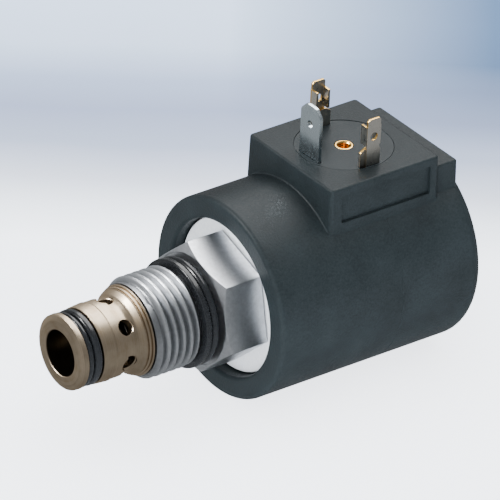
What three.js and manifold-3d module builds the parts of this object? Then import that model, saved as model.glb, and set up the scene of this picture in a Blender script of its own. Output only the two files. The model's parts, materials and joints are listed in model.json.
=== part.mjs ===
// Screw-in solenoid cartridge valve, two ports, with a moulded coil and a three-tab plug connector.
// Millimetres. +X runs along the valve from the nose to the coil nut, x = 0 is the hex's front face,
// which seats on the manifold, and +Z points up through the connector block.
import * as THREE from "three";
import { mergeVertices } from "three/addons/utils/BufferGeometryUtils.js";
import Module from "manifold-3d";

const wasm = await Module();
wasm.setup();

// ---------------------------------------------------------------- driving dimensions
const GAP = 0.3; // clearance between neighbouring pieces
const ROUND = 24; // sides of a turned piece
const ROUND_BIG = 32; // sides of the coil's shell
const ROUND_SMALL = 12; // sides of a small hole

// Cartridge: G 1/2 thread, 24 mm hex
const THREAD_RADIUS = 10.48;
const THREAD_ROOT = 9.32;
const THREAD_PITCH = 1.814;
const THREAD_CRESTS = 5;
const THREAD_FRONT = -14.9;
const FIRST_CREST = -12.5;
const UNDERCUT_FRONT = -4.3;
const UNDERCUT_RADIUS = 9.3;
const HEX_FLATS = 24;
const HEX_REAR = 9.6;
const SEAT_RING = 11.6; // the seating ring reaches from this radius out to the hex's flats
const SEAT_RECESS = 0.2; // inside that ring the face steps back for the head seal
const HEX_TURN = -12.5; // degrees from +Z towards -Y of one hex corner
const TUBE_RADIUS = 7.5;
const TUBE_BORE = 6.5;
const PIN_RADIUS = 1.5;

// Cage
const CAGE_FACE = -31.5;
const NOSE_BORE = 4.8;
const SEAT = -23.5;
const GUIDE_BORE = 5.6;
const CAGE_SPIGOT = 7.0;
const CAGE_REAR = -7.5;
const PORT_RADIUS = 1.65;
const PORT_PLACE = -19.9;
const PORT_COUNT = 6;
const PORT_TURN = 48.3; // degrees from +Z towards -Y of one port

// Coil
const COIL_FRONT = 7.2;
const COIL_REAR = 57.6;
const COIL_RADIUS = 21.15;
const RECESS_RADIUS = 16.4;
const PLATE_FRONT = 9.9;
const PLATE_THICK = 4.0;
const REAR_PLATE_FACE = 55.2;
const YOKE_RADIUS = 18.5;
const COIL_BORE = 7.8;

// Connector block and its tabs (EN 175301-803 form A, 18 mm contact spacing)
const BLOCK = { x0: 23.45, x1: 50.21, y: 13.77, top: 25.92 };
const STEP_DOWN = { x1: 55.76, y: 12.73, top: 22.87 };
const CARRIER_CENTRE = 36.8;
const LEAD_OFFSET = 5.0; // how far each lead stands from the middle, along Y
const CARRIER_RADIUS = 9.7;
const CARRIER_BOTTOM = 20.5;
const SPADE_OFFSET = 9.0;
const SPADE = { half: 1.7, leg: 2.85, sheet: 0.5, back: 1.1 }; // half widths and depths of its layers
const EARTH_PLACE = 28.4;
const TAB_ROOT = 21.6; // how far down the tabs reach in the carrier

// Moving pieces, at rest
const ARMATURE_FRONT = 2.0;
const ARMATURE_REAR = 25.0;
const SPRING_SEAT = 19.0; // floor of the armature's rear pocket
const POPPET_REAR = -10.5;
const POPPET_POCKET = -14.6; // floor of the poppet's rear pocket
const STROKE = 3.0; // armature travel
const STOP_CLEARANCE = 1.2; // left between the armature and the pole piece at full travel
const PIECES_AT_REST_GAP = 0.15; // between the poppet and its seat, and the pin and the poppet

// ---------------------------------------------------------------- solids
function welded(geometry) {
  const plain = geometry.clone();
  plain.deleteAttribute("normal");
  plain.deleteAttribute("uv");
  const merged = mergeVertices(plain, 1e-4);
  const corners = [];
  for (let i = 0; i < merged.index.count; i += 3) {
    const [a, b, c] = [0, 1, 2].map((k) => merged.index.getX(i + k));
    if (a !== b && b !== c && c !== a) corners.push(a, b, c);
  }
  merged.setIndex(corners);
  return merged;
}

function solid(geometry) {
  const merged = welded(geometry);
  return new wasm.Manifold(
    new wasm.Mesh({
      numProp: 3,
      vertProperties: new Float32Array(merged.attributes.position.array),
      triVerts: new Uint32Array(merged.index.array),
    }),
  );
}

function geometryOf(made) {
  const mesh = made.getMesh();
  const geometry = new THREE.BufferGeometry();
  geometry.setAttribute("position", new THREE.BufferAttribute(mesh.vertProperties, 3));
  geometry.setIndex(new THREE.BufferAttribute(mesh.triVerts, 1));
  geometry.computeVertexNormals();
  return geometry;
}

// A piece turned about the valve's axis, from its outline of [x, radius] points.
function turned(outline, sides = ROUND) {
  const points = outline.map(([x, radius]) => new THREE.Vector2(radius, x));
  if (THREE.ShapeUtils.area(points) < 0) points.reverse();
  points.push(points[0].clone());
  return new THREE.LatheGeometry(points, sides).rotateZ(-Math.PI / 2);
}

// The [x, radius] points of a round corner about a centre, from one angle to another in degrees.
function arc(x, radius, size, from, to, steps) {
  return Array.from({ length: steps + 1 }, (_, i) => {
    const angle = THREE.MathUtils.degToRad(from + ((to - from) * i) / steps);
    return [x + size * Math.cos(angle), radius + size * Math.sin(angle)];
  });
}

function ring(x, radius, section, sides = 24, round = 6) {
  return turned(arc(x, radius, section, 0, 360, round).slice(0, -1), sides);
}

function sleeve(x0, x1, inner, outer, sides = ROUND) {
  return turned([[x0, inner], [x0, outer], [x1, outer], [x1, inner]], sides);
}

function box(x0, x1, y0, y1, z0, z1) {
  const shape = new THREE.BoxGeometry(x1 - x0, y1 - y0, z1 - z0);
  return shape.translate((x0 + x1) / 2, (y0 + y1) / 2, (z0 + z1) / 2);
}

// An upright cylinder, for holes and posts along Z.
function post(x, y, z0, z1, radius, sides = ROUND_SMALL) {
  const shape = new THREE.CylinderGeometry(radius, radius, z1 - z0, sides);
  return shape.rotateX(Math.PI / 2).translate(x, y, (z0 + z1) / 2);
}

// A bar of round-cornered rectangular section, standing along Z.
function roundedBar(x0, x1, y, z0, z1, corner) {
  const shape = new THREE.Shape();
  const turns = [[x1, y, 0], [x0, y, 90], [x0, -y, 180], [x1, -y, 270]];
  turns.forEach(([cx, cy, start]) => {
    const inX = cx - Math.sign(cx - (x0 + x1) / 2) * corner;
    const inY = cy - Math.sign(cy) * corner;
    const from = THREE.MathUtils.degToRad(start);
    shape.absarc(inX, inY, corner, from, from + Math.PI / 2, false);
  });
  const bar = new THREE.ExtrudeGeometry(shape, {
    depth: z1 - z0,
    bevelEnabled: false,
    curveSegments: 3,
  });
  return bar.translate(0, 0, z0);
}

class Helix extends THREE.Curve {
  constructor(x0, x1, radius, turns) {
    super();
    Object.assign(this, { x0, x1, radius, turns });
  }
  getPoint(t, target = new THREE.Vector3()) {
    const angle = 2 * Math.PI * this.turns * t;
    const x = this.x0 + (this.x1 - this.x0) * t;
    return target.set(x, this.radius * Math.sin(angle), this.radius * Math.cos(angle));
  }
}

function wire(curve, radius, sides, steps) {
  const section = new THREE.Shape();
  for (let i = 0; i < sides; i++) {
    const angle = (2 * Math.PI * i) / sides;
    section[i ? "lineTo" : "moveTo"](radius * Math.cos(angle), radius * Math.sin(angle));
  }
  section.closePath();
  return new THREE.ExtrudeGeometry(section, { extrudePath: curve, steps });
}

function coilSpring(x0, x1, radius, wireRadius, turns) {
  const end = wireRadius * 1.2;
  return wire(new Helix(x0 + end, x1 - end, radius, turns), wireRadius, 5, turns * 10);
}

// ---------------------------------------------------------------- materials
function finish(colour, roughness, metalness) {
  return () => new THREE.MeshStandardMaterial({ color: colour, roughness, metalness });
}
const bronzeSteel = finish(0x8c8070, 0.4, 0.9);
const platedSteel = finish(0xb9bcc0, 0.35, 0.9);
const brightSteel = finish(0xc9cccf, 0.3, 1.0);
const brass = finish(0xc9a24b, 0.3, 1.0);
const copper = finish(0xa35a2e, 0.4, 0.9);
const rubber = finish(0x101010, 0.3, 0.0);
const backupPlastic = finish(0x1b1b1c, 0.6, 0.0);
const blackPlastic = finish(0x17181a, 0.55, 0.0);
const bobbinPlastic = finish(0x2a2c30, 0.6, 0.0);

const valve = new THREE.Group();
function add(name, geometry, material) {
  const mesh = new THREE.Mesh(geometry, material());
  mesh.name = name;
  valve.add(mesh);
}

// ---------------------------------------------------------------- cage at the nose
function cageOutline() {
  return [
    [CAGE_FACE, NOSE_BORE + 0.15],
    [CAGE_FACE, 6.55],
    [-31.0, 7.8],
    [-29.9, 7.85],
    [-29.9, 6.2],
    [-26.35, 6.2],
    [-26.35, 7.9],
    [-23.6, 8.1],
    [-20.7, 8.1],
    [-20.5, 7.45],
    [-19.0, 7.4],
    [-17.9, 7.8],
    [-16.4, 8.9],
    [THREAD_FRONT - GAP, 9.4],
    [THREAD_FRONT - GAP, CAGE_SPIGOT],
    [CAGE_REAR, CAGE_SPIGOT],
    [CAGE_REAR, GUIDE_BORE],
    [SEAT, GUIDE_BORE],
    [SEAT, NOSE_BORE],
    [CAGE_FACE + 0.15, NOSE_BORE],
  ];
}

function cage() {
  let made = solid(turned(cageOutline()));
  for (let i = 0; i < PORT_COUNT; i++) {
    const hole = new THREE.CylinderGeometry(PORT_RADIUS, PORT_RADIUS, 6, 12);
    hole.rotateX(Math.PI / 2).translate(PORT_PLACE, 0, 7);
    hole.rotateX(THREE.MathUtils.degToRad(PORT_TURN + (i * 360) / PORT_COUNT));
    made = made.subtract(solid(hole));
  }
  return geometryOf(made);
}

// ---------------------------------------------------------------- threaded hex body
function threadOutline() {
  const flat = 0.22;
  const outline = [[THREAD_FRONT, 9.55], [FIRST_CREST - THREAD_PITCH, 9.95]];
  for (let i = 0; i < THREAD_CRESTS; i++) {
    const crest = FIRST_CREST + i * THREAD_PITCH;
    outline.push([crest - THREAD_PITCH / 2, THREAD_ROOT]);
    outline.push([crest - flat, THREAD_RADIUS], [crest + flat, THREAD_RADIUS]);
  }
  return [...outline, [UNDERCUT_FRONT, UNDERCUT_RADIUS], [1, UNDERCUT_RADIUS], [1, 0], [THREAD_FRONT, 0]];
}

function hexHead() {
  const flat = HEX_FLATS / 2;
  const corner = flat / Math.cos(Math.PI / 6);
  const chamfer = (corner - flat) * Math.tan(Math.PI / 6);
  const disc = turned([
    [SEAT_RECESS, 0],
    [SEAT_RECESS, SEAT_RING],
    [0, SEAT_RING],
    [0, flat],
    [chamfer, corner],
    [HEX_REAR - 0.3, corner],
    [HEX_REAR, corner - 0.5],
    [HEX_REAR, 0],
  ], ROUND_BIG);
  const prism = new THREE.CylinderGeometry(corner, corner, 40, 6).rotateZ(Math.PI / 2);
  prism.rotateX(THREE.MathUtils.degToRad(HEX_TURN));
  return solid(disc).intersect(solid(prism));
}

function valveBody() {
  const bores = turned([
    [THREAD_FRONT - 1, 0],
    [THREAD_FRONT - 1, CAGE_SPIGOT + GAP],
    [CAGE_REAR + 0.5, CAGE_SPIGOT + GAP],
    [CAGE_REAR + 0.5, 2.6],
    [1, 2.6],
    [1, COIL_BORE],
    [4.0, COIL_BORE],
    [4.0, 9.1],
    [6.2, 9.1],
    [6.2, COIL_BORE],
    [HEX_REAR + 1, COIL_BORE],
    [HEX_REAR + 1, 0],
  ]);
  return geometryOf(solid(turned(threadOutline())).add(hexHead()).subtract(solid(bores)));
}

// ---------------------------------------------------------------- moving pieces inside
function mainPoppet() {
  const front = SEAT - 1.1;
  return turned([
    [front, 0.6],
    [front, 3.9],
    [SEAT, NOSE_BORE - PIECES_AT_REST_GAP - 0.05],
    [SEAT + 0.4, 5.0],
    [SEAT + 0.9, 5.0],
    [SEAT + 1.5, 4.2],
    [-18.0, 4.2],
    [-17.5, GUIDE_BORE - GAP],
    [POPPET_REAR, GUIDE_BORE - GAP],
    [POPPET_REAR, 3.8],
    [POPPET_POCKET, 3.8],
    [POPPET_POCKET, 0.6],
  ]);
}

function pilotPin() {
  const tip = POPPET_POCKET + PIECES_AT_REST_GAP;
  return turned([[tip, 0], [tip, 0.5], [tip + 1, PIN_RADIUS], [8, PIN_RADIUS], [8, 0]], 24);
}

function armature() {
  const radius = TUBE_BORE - GAP;
  const core = solid(turned([
    [ARMATURE_FRONT, PIN_RADIUS + GAP],
    [ARMATURE_FRONT, radius - 0.5],
    [ARMATURE_FRONT + 0.5, radius],
    [ARMATURE_REAR - 0.5, radius],
    [ARMATURE_REAR, radius - 0.5],
    [ARMATURE_REAR, 3.2],
    [SPRING_SEAT, 3.2],
    [SPRING_SEAT, 1.2],
    [8.3, 1.2],
    [8.3, PIN_RADIUS + GAP],
  ]));
  const slots = [1, -1].map((side) => {
    const middle = side * (radius + 0.4);
    return solid(box(ARMATURE_FRONT - 1, ARMATURE_REAR + 1, middle - 1.3, middle + 1.3, -0.7, 0.7));
  });
  return geometryOf(core.subtract(slots[0]).subtract(slots[1]));
}

// ---------------------------------------------------------------- tube, pole piece and nut
function armatureTube() {
  return turned([[1.3, TUBE_BORE], [1.3, TUBE_RADIUS], [47.7, TUBE_RADIUS], [47.7, TUBE_BORE]]);
}

function polePiece() {
  const face = ARMATURE_REAR + STROKE + STOP_CLEARANCE;
  return turned([
    [face + 3.8, 0],
    [face + 3.8, 3.2],
    [face, 3.2],
    [face, TUBE_BORE - GAP],
    [48, TUBE_BORE - GAP],
    [48, TUBE_RADIUS],
    [REAR_PLATE_FACE + 0.1, TUBE_RADIUS],
    [REAR_PLATE_FACE + 0.1, 4.9],
    [60.9, 4.9],
    [61.5, 4.3],
    [61.5, 0],
  ]);
}

function coilNut() {
  const flats = 17;
  const corner = flats / Math.sqrt(3);
  const disc = turned([
    [REAR_PLATE_FACE + GAP, 5.3],
    [REAR_PLATE_FACE + GAP, corner - 0.7],
    [REAR_PLATE_FACE + GAP + 0.5, corner],
    [61.5, corner],
    [62.3, corner - 1.2],
    [62.3, 5.3],
  ]);
  const prism = new THREE.CylinderGeometry(corner, corner, 20, 6).rotateZ(Math.PI / 2);
  return geometryOf(solid(disc).intersect(solid(prism.translate(58, 0, 0))));
}

// ---------------------------------------------------------------- coil
function coilShell() {
  const front = 1.3;
  const rear = 3.3;
  return turned([
    [COIL_FRONT, 0],
    ...arc(COIL_FRONT + front, COIL_RADIUS - front, front, 180, 90, 3),
    ...arc(COIL_REAR - rear, COIL_RADIUS - rear, rear, 90, 0, 4),
    [COIL_REAR, 0],
  ], ROUND_BIG);
}

function coilCavity() {
  const lip = 0.9;
  return turned([
    [COIL_FRONT - 1, 0],
    [COIL_FRONT - 1, RECESS_RADIUS + lip],
    [COIL_FRONT, RECESS_RADIUS + lip],
    [COIL_FRONT + lip / 2, RECESS_RADIUS + 0.15],
    [COIL_FRONT + lip, RECESS_RADIUS],
    [PLATE_FRONT + 0.7, RECESS_RADIUS],
    [PLATE_FRONT + 0.7, YOKE_RADIUS + GAP],
    [REAR_PLATE_FACE - 0.9, YOKE_RADIUS + GAP],
    [REAR_PLATE_FACE - 0.9, RECESS_RADIUS],
    [REAR_PLATE_FACE + GAP, RECESS_RADIUS],
    [REAR_PLATE_FACE + GAP, 13],
    [COIL_REAR + 1, 13],
    [COIL_REAR + 1, 0],
  ], ROUND_BIG);
}

function coilHousing() {
  const label = { x0: 26.1, x1: 48.1, z0: 18.0, z1: 24.1, deep: 0.45 };
  const block = roundedBar(BLOCK.x0, BLOCK.x1, BLOCK.y, 5, BLOCK.top, 1.2);
  const rearStep = roundedBar(BLOCK.x1 - 4, STEP_DOWN.x1, STEP_DOWN.y, 5, STEP_DOWN.top, 1.0);
  const labelRecess = box(label.x0, label.x1, -BLOCK.y - 1, -BLOCK.y + label.deep, label.z0, label.z1);
  const pocket = post(CARRIER_CENTRE, 0, CARRIER_BOTTOM - GAP, BLOCK.top + 1, CARRIER_RADIUS + GAP, ROUND);
  let made = solid(coilShell()).add(solid(block)).add(solid(rearStep));
  made = made.subtract(solid(coilCavity())).subtract(solid(labelRecess)).subtract(solid(pocket));
  for (const side of [1, -1]) {
    made = made.subtract(solid(post(CARRIER_CENTRE, side * LEAD_OFFSET, 10, 22, 0.9, 12)));
  }
  return geometryOf(made);
}

// One end plate. The counterbore for its seal faces away from the winding.
function fluxPlate(outerFace, away) {
  const inner = outerFace - away * PLATE_THICK;
  return turned([
    [outerFace, 9.75],
    [outerFace, RECESS_RADIUS - GAP],
    [inner, RECESS_RADIUS - GAP],
    [inner, COIL_BORE],
    [outerFace - away * 2.1, COIL_BORE],
    [outerFace - away * 2.1, 9.75],
  ]);
}

function yokeSleeve() {
  const tube = solid(sleeve(PLATE_FRONT + 1, REAR_PLATE_FACE - 1.2, RECESS_RADIUS, YOKE_RADIUS));
  const leadWindow = box(CARRIER_CENTRE - 4, CARRIER_CENTRE + 4, -7, 7, 10, 20);
  return geometryOf(tube.subtract(solid(leadWindow)));
}

function bobbin() {
  const x0 = PLATE_FRONT + PLATE_THICK + GAP;
  const x1 = REAR_PLATE_FACE - PLATE_THICK - GAP;
  return turned([
    [x0, COIL_BORE],
    [x0, 15.9],
    [x0 + 2, 15.9],
    [x0 + 2, 9.2],
    [x1 - 2, 9.2],
    [x1 - 2, 15.9],
    [x1, 15.9],
    [x1, COIL_BORE],
  ]);
}

function winding() {
  const x0 = PLATE_FRONT + PLATE_THICK + 2 + 2 * GAP;
  const x1 = REAR_PLATE_FACE - PLATE_THICK - 2 - 2 * GAP;
  return sleeve(x0, x1, 9.5, 15.2);
}

function windingLead(side) {
  return post(CARRIER_CENTRE, side * LEAD_OFFSET, 14.8, CARRIER_BOTTOM - GAP, 0.4, 8);
}

// ---------------------------------------------------------------- connector
function terminalCarrier() {
  const slot = GAP;
  let made = solid(post(CARRIER_CENTRE, 0, CARRIER_BOTTOM, BLOCK.top, CARRIER_RADIUS, ROUND));
  const step = box(CARRIER_CENTRE - 12, CARRIER_CENTRE + 12, 3.6, 12, BLOCK.top - 0.35, BLOCK.top + 1);
  const insertHole = post(CARRIER_CENTRE, 0, BLOCK.top - 5, BLOCK.top + 1, 2.2);
  const cuts = [step, insertHole, box(
    EARTH_PLACE - 0.4 - slot, EARTH_PLACE + 0.4 + slot, -3.15 - slot, 3.15 + slot, TAB_ROOT - slot, 30,
  )];
  for (const side of [1, -1]) {
    const xs = [-SPADE.half - slot, SPADE.leg + slot].map((x) => CARRIER_CENTRE + side * x);
    const ys = [-slot, SPADE.back + slot].map((y) => side * (SPADE_OFFSET + 0.4 - y));
    cuts.push(box(Math.min(...xs), Math.max(...xs), Math.min(...ys), Math.max(...ys), TAB_ROOT - slot, 30));
  }
  for (const cut of cuts) made = made.subtract(solid(cut));
  return geometryOf(made);
}

function earthTab() {
  const [half, height, corner] = [3.15, 11.5, 1.7];
  const shape = new THREE.Shape();
  shape.moveTo(-half, TAB_ROOT);
  shape.lineTo(half, TAB_ROOT);
  shape.lineTo(half, BLOCK.top + height - corner);
  shape.lineTo(half - corner, BLOCK.top + height);
  shape.lineTo(-half + corner, BLOCK.top + height);
  shape.lineTo(-half, BLOCK.top + height - corner);
  shape.closePath();
  const hole = new THREE.Path().absarc(0, BLOCK.top + 7.4, 0.8, 0, 2 * Math.PI, true);
  shape.holes.push(hole);
  const plate = new THREE.ExtrudeGeometry(shape, { depth: 0.8, bevelEnabled: false, curveSegments: 12 });
  plate.rotateX(Math.PI / 2).rotateZ(Math.PI / 2);
  return plate.translate(EARTH_PLACE - 0.4, 0, 0);
}

// A narrow tab stamped from strip. Its front layer carries the folded wings, which point at the middle,
// and a wider back layer stiffens the leg below them.
function spadeTerminal(side) {
  const face = side * (SPADE_OFFSET + 0.4);
  const part = (from, to, front, back, z0, z1) => {
    const [x0, x1] = [from, to].map((x) => CARRIER_CENTRE + side * x).sort((a, b) => a - b);
    const [y0, y1] = [front, back].map((y) => face - side * y).sort((a, b) => a - b);
    return solid(box(x0, x1, y0, y1, z0, z1));
  };
  const top = BLOCK.top;
  let made = part(-SPADE.half, SPADE.half, 0, SPADE.sheet, TAB_ROOT, top + 8.8);
  made = made.add(part(-1.6, 1.6, 0, SPADE.sheet, top + 8.7, top + 10.4));
  made = made.add(part(-SPADE.half, SPADE.leg, SPADE.sheet - 0.1, SPADE.back, TAB_ROOT, top + 4.0));
  for (const end of [1, -1]) {
    made = made.add(part(end * 1.2, end * SPADE.half, 0, 2.1, top + 4.4, top + 8.7));
  }
  const hole = new THREE.CylinderGeometry(0.9, 0.9, 6, 12).translate(CARRIER_CENTRE, face, top + 6.4);
  return geometryOf(made.subtract(solid(hole)));
}

function threadInsert() {
  const bush = post(CARRIER_CENTRE, 0, BLOCK.top - 4.7, BLOCK.top, 1.9);
  const bore = post(CARRIER_CENTRE, 0, BLOCK.top - 3.8, BLOCK.top + 1, 1.3);
  return geometryOf(solid(bush).subtract(solid(bore)));
}

// ---------------------------------------------------------------- the assembly
add("cage", cage(), bronzeSteel);
add("nose_o_ring", ring(-29.1, 7.1, 0.74), rubber);
add("nose_backup_ring", sleeve(-28.2, -26.45, 6.45, 7.82, 24), backupPlastic);
add("valve_body", valveBody(), platedSteel);
add("head_backup_ring", sleeve(-3.95, -2.6, 9.45, 11.3, 24), backupPlastic);
add("head_o_ring", ring(-1.5, 10.43, 0.95), rubber);

add("main_poppet", mainPoppet(), brightSteel);
add("poppet_spring", coilSpring(POPPET_POCKET + 0.1, CAGE_REAR + 0.4, 3.0, 0.4, 5), brightSteel);
add("pilot_pin", pilotPin(), brightSteel);
add("armature", armature(), brightSteel);
add("armature_spring", coilSpring(SPRING_SEAT + 0.1, 32.9, 2.3, 0.35, 9), brightSteel);
add("gap_shim", sleeve(28.5, 29.0, 3.6, 6.1), brass);
add("armature_tube", armatureTube(), brightSteel);
add("tube_o_ring", ring(5.1, 8.35, 0.7), rubber);
add("pole_piece", polePiece(), brightSteel);
add("coil_front_o_ring", ring(PLATE_FRONT + 1.1, 8.7, 0.85), rubber);
add("coil_rear_o_ring", ring(REAR_PLATE_FACE - 1.1, 8.7, 0.85), rubber);
add("coil_nut", coilNut(), platedSteel);

add("coil_housing", coilHousing(), blackPlastic);
add("front_flux_plate", fluxPlate(PLATE_FRONT, -1), platedSteel);
add("rear_flux_plate", fluxPlate(REAR_PLATE_FACE, 1), platedSteel);
add("yoke_sleeve", yokeSleeve(), platedSteel);
add("bobbin", bobbin(), bobbinPlastic);
add("winding", winding(), copper);
add("terminal_carrier", terminalCarrier(), blackPlastic);
add("thread_insert", threadInsert(), brass);
add("earth_tab", earthTab(), brightSteel);
[1, -1].forEach((side, i) => {
  add(`spade_terminal_${i + 1}`, spadeTerminal(side), brass);
  add(`winding_lead_${i + 1}`, windingLead(side), copper);
});

export default valve;
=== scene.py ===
import cmath
import json
import math

import bmesh
import bpy
from bpy.props import FloatProperty, FloatVectorProperty, IntProperty, PointerProperty
from mathutils import Matrix, Vector


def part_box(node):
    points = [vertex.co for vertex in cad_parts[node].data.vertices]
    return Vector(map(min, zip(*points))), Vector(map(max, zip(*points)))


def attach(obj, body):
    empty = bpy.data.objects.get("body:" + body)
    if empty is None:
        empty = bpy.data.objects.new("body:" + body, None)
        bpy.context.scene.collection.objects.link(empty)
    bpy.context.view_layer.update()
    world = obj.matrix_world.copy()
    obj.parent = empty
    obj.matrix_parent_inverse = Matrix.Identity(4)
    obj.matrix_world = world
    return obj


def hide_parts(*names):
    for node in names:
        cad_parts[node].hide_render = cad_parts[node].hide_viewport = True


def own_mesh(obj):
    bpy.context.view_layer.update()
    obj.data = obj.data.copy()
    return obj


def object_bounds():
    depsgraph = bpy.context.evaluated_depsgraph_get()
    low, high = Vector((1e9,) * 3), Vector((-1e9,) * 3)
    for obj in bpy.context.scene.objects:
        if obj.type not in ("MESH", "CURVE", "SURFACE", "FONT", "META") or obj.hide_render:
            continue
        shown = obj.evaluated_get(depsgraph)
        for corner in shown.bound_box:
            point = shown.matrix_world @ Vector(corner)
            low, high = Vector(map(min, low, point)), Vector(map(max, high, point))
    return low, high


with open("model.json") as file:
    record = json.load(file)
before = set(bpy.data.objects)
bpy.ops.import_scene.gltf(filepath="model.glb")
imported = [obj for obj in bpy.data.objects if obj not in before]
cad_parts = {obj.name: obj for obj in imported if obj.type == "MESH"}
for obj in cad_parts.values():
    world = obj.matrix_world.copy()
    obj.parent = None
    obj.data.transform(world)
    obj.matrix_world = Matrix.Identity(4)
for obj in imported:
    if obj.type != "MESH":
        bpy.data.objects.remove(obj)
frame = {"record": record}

bl_info = {
    "name": "Solenoid cartridge valve",
    "version": (1, 0, 0),
    "blender": (4, 5, 0),
    "location": "View3D > Sidebar > Valve",
    "description": "Builds the fine surfaces and finishes of a screw-in solenoid valve over its packed model",
    "category": "Object",
}

CAD_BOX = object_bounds()
MM = 0.001  # metres in a millimetre; every outline below is in millimetres
BODY_OF = {node: body for body, nodes in frame["record"]["behaviour"]["bodies"].items() for node in nodes}
BLOCK_HALF = 13.77  # half the connector block's width
TERMINAL_FACE = 9.4  # how far out the terminals' outer faces stand


# ---------------------------------------------------------------- sizes and colours a user may change
def length(name, description, millimetres):
    return FloatProperty(
        name=name, description=description, default=millimetres * MM, unit="LENGTH", precision=5
    )


def turn(name, description, degrees):
    return FloatProperty(name=name, description=description, default=math.radians(degrees), subtype="ANGLE")


def paint(name, description, colour):
    return FloatVectorProperty(
        name=name, description=description, default=colour, subtype="COLOR", size=3, min=0.0, max=1.0
    )


class CartridgeSizes(bpy.types.PropertyGroup):
    """Sizes of the screw-in cartridge."""

    thread_radius: length("Thread radius", "Half the thread's outer diameter, G 1/2", 10.48)
    thread_pitch: length("Thread pitch", "From one crest to the next", 1.814)
    thread_depth: length("Thread depth", "From crest to root", 1.1)
    first_crest: length("First crest", "Where the first full crest passes the reference side", -12.5)
    thread_turn: turn("Thread turn", "Angle of the side where the first crest is given", 143)
    hex_flats: length("Across flats", "Spanner size of the hex", 24.0)
    hex_corner: length("Hex corner", "Rounding of the hex's long edges", 0.22)
    hex_turn: turn("Hex turn", "Angle of one corner from the top towards the label side", -12.5)
    port_radius: length("Port radius", "Radius of the drilled side ports", 1.65)
    port_place: length("Port place", "Where the side ports are drilled", -19.9)
    port_turn: turn("Port turn", "Angle of one port from the top towards the label side", 48.3)
    port_count: IntProperty(name="Ports", description="Number of side ports", default=6, min=1)
    nut_flats: length("Nut across flats", "Spanner size of the coil nut", 17.0)
    stud_pitch: length("Stud pitch", "Pitch of the nut's thread", 1.0)
    poppet_wire: length("Poppet spring wire", "Diameter of the poppet spring's wire", 0.8)
    armature_wire: length("Armature spring wire", "Diameter of the armature spring's wire", 0.7)


class CoilSizes(bpy.types.PropertyGroup):
    """Sizes of the moulded coil and its connector block."""

    front_edge: length("Front edge", "Rounding of the shell's front rim", 1.0)
    rear_edge: length("Rear edge", "Rounding of the shell's rear rim", 3.3)
    lip_edge: length("Lip edge", "Rounding of the front recess's mouth", 0.8)
    block_corner: length("Block corner", "Rounding of the block's upright edges", 0.85)
    block_edge: length("Block edge", "Rounding round the block's top", 0.55)
    block_root: length("Block root", "Fillet where the block meets the shell", 0.5)
    draft: FloatProperty(name="Draft", description="Lean of the block's walls, for its height", default=0.02)
    label_depth: length("Label depth", "How deep the label panel is sunk", 0.45)
    parting_place: length("Parting line", "Where the mould's parting line runs round the shell", 37.1)
    winding_wire: length("Winding wire", "Pitch of the winding's turns", 0.8)


class ConnectorSizes(bpy.types.PropertyGroup):
    """Sizes of the plug connector's metal parts."""

    strip: length("Strip", "Thickness of the terminal strip", 0.5)
    earth_hole: length("Earth hole", "Radius of the hole in the earth tab", 0.8)
    blade_hole: length("Blade hole", "Radius of the hole in each terminal", 0.9)
    insert_pitch: length("Insert pitch", "Pitch of the fixing screw's thread, M3", 0.5)
    insert_bore: length("Insert bore", "Radius inside the insert's thread", 1.25)


class FinishColours(bpy.types.PropertyGroup):
    """Base colours of the finishes."""

    bronze: paint("Bronze steel", "The cage's warm satin steel", (0.46, 0.372, 0.27))
    zinc: paint("Zinc plate", "The threaded body and the end plates", (0.60, 0.62, 0.65))
    steel: paint("Bright steel", "Ground and drawn steel inside", (0.60, 0.61, 0.62))
    brass: paint("Brass", "The insert, the shim and the terminals' cut edges", (0.83, 0.52, 0.16))
    tin: paint("Tin plate", "The terminals' faces", (0.66, 0.63, 0.57))
    zinc_blue: paint("Blue tin", "The earth tab", (0.62, 0.70, 0.74))
    copper: paint("Copper", "The winding and its leads", (0.72, 0.30, 0.13))
    rubber: paint("Rubber", "The O-rings", (0.0100, 0.0110, 0.0125))
    plastic: paint("Coil plastic", "The moulded shell", (0.0150, 0.0205, 0.0226))
    carrier: paint("Carrier plastic", "The terminal carrier", (0.0155, 0.0215, 0.0240))


class StudioSettings(bpy.types.PropertyGroup):
    """The camera's place and the lights."""

    azimuth: turn("Azimuth", "Camera angle round the upright axis", -37.89)
    elevation: turn("Elevation", "Camera angle above the floor", 30.46)
    roll: turn("Roll", "Camera turn about its own axis", 2.6)
    distance: FloatProperty(name="Distance", description="From the aim point", default=1.64388, unit="LENGTH")
    lens: FloatProperty(name="Lens", description="Focal length in millimetres", default=599.0)
    aim: FloatVectorProperty(
        name="Aim", description="Point that the camera looks at",
        default=(0.012743, -0.002155, 0.010416), subtype="TRANSLATION", precision=6,
    )
    sky: FloatProperty(name="Sky light", description="Brightness of the wide panel overhead", default=3.0)
    window: FloatProperty(name="Window", description="Power of the large mirrored softbox", default=27.0)
    key: FloatProperty(name="Key light", description="Power of the small mirrored softbox", default=20.0)
    front: FloatProperty(name="Front light", description="Power of the softbox facing the nose", default=14.0)
    back: FloatProperty(name="Back light", description="Power of the low softbox behind", default=1.2)


# ---------------------------------------------------------------- mesh helpers
def span(node):
    """Lowest and highest corner of a node, in millimetres."""
    low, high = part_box(node)
    return low / MM, high / MM


def carrier_middle():
    """Where the round terminal carrier stands along the valve."""
    low, high = span("terminal_carrier")
    return (low.x + high.x) / 2


def weld(made):
    """Merges doubled corners and turns every face outward."""
    close = 2e-7  # metres
    work = bmesh.new()
    work.from_mesh(made.data)
    bmesh.ops.remove_doubles(work, verts=work.verts, dist=close)
    bmesh.ops.recalc_face_normals(work, faces=work.faces)
    work.to_mesh(made.data)
    work.free()
    return made


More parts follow.
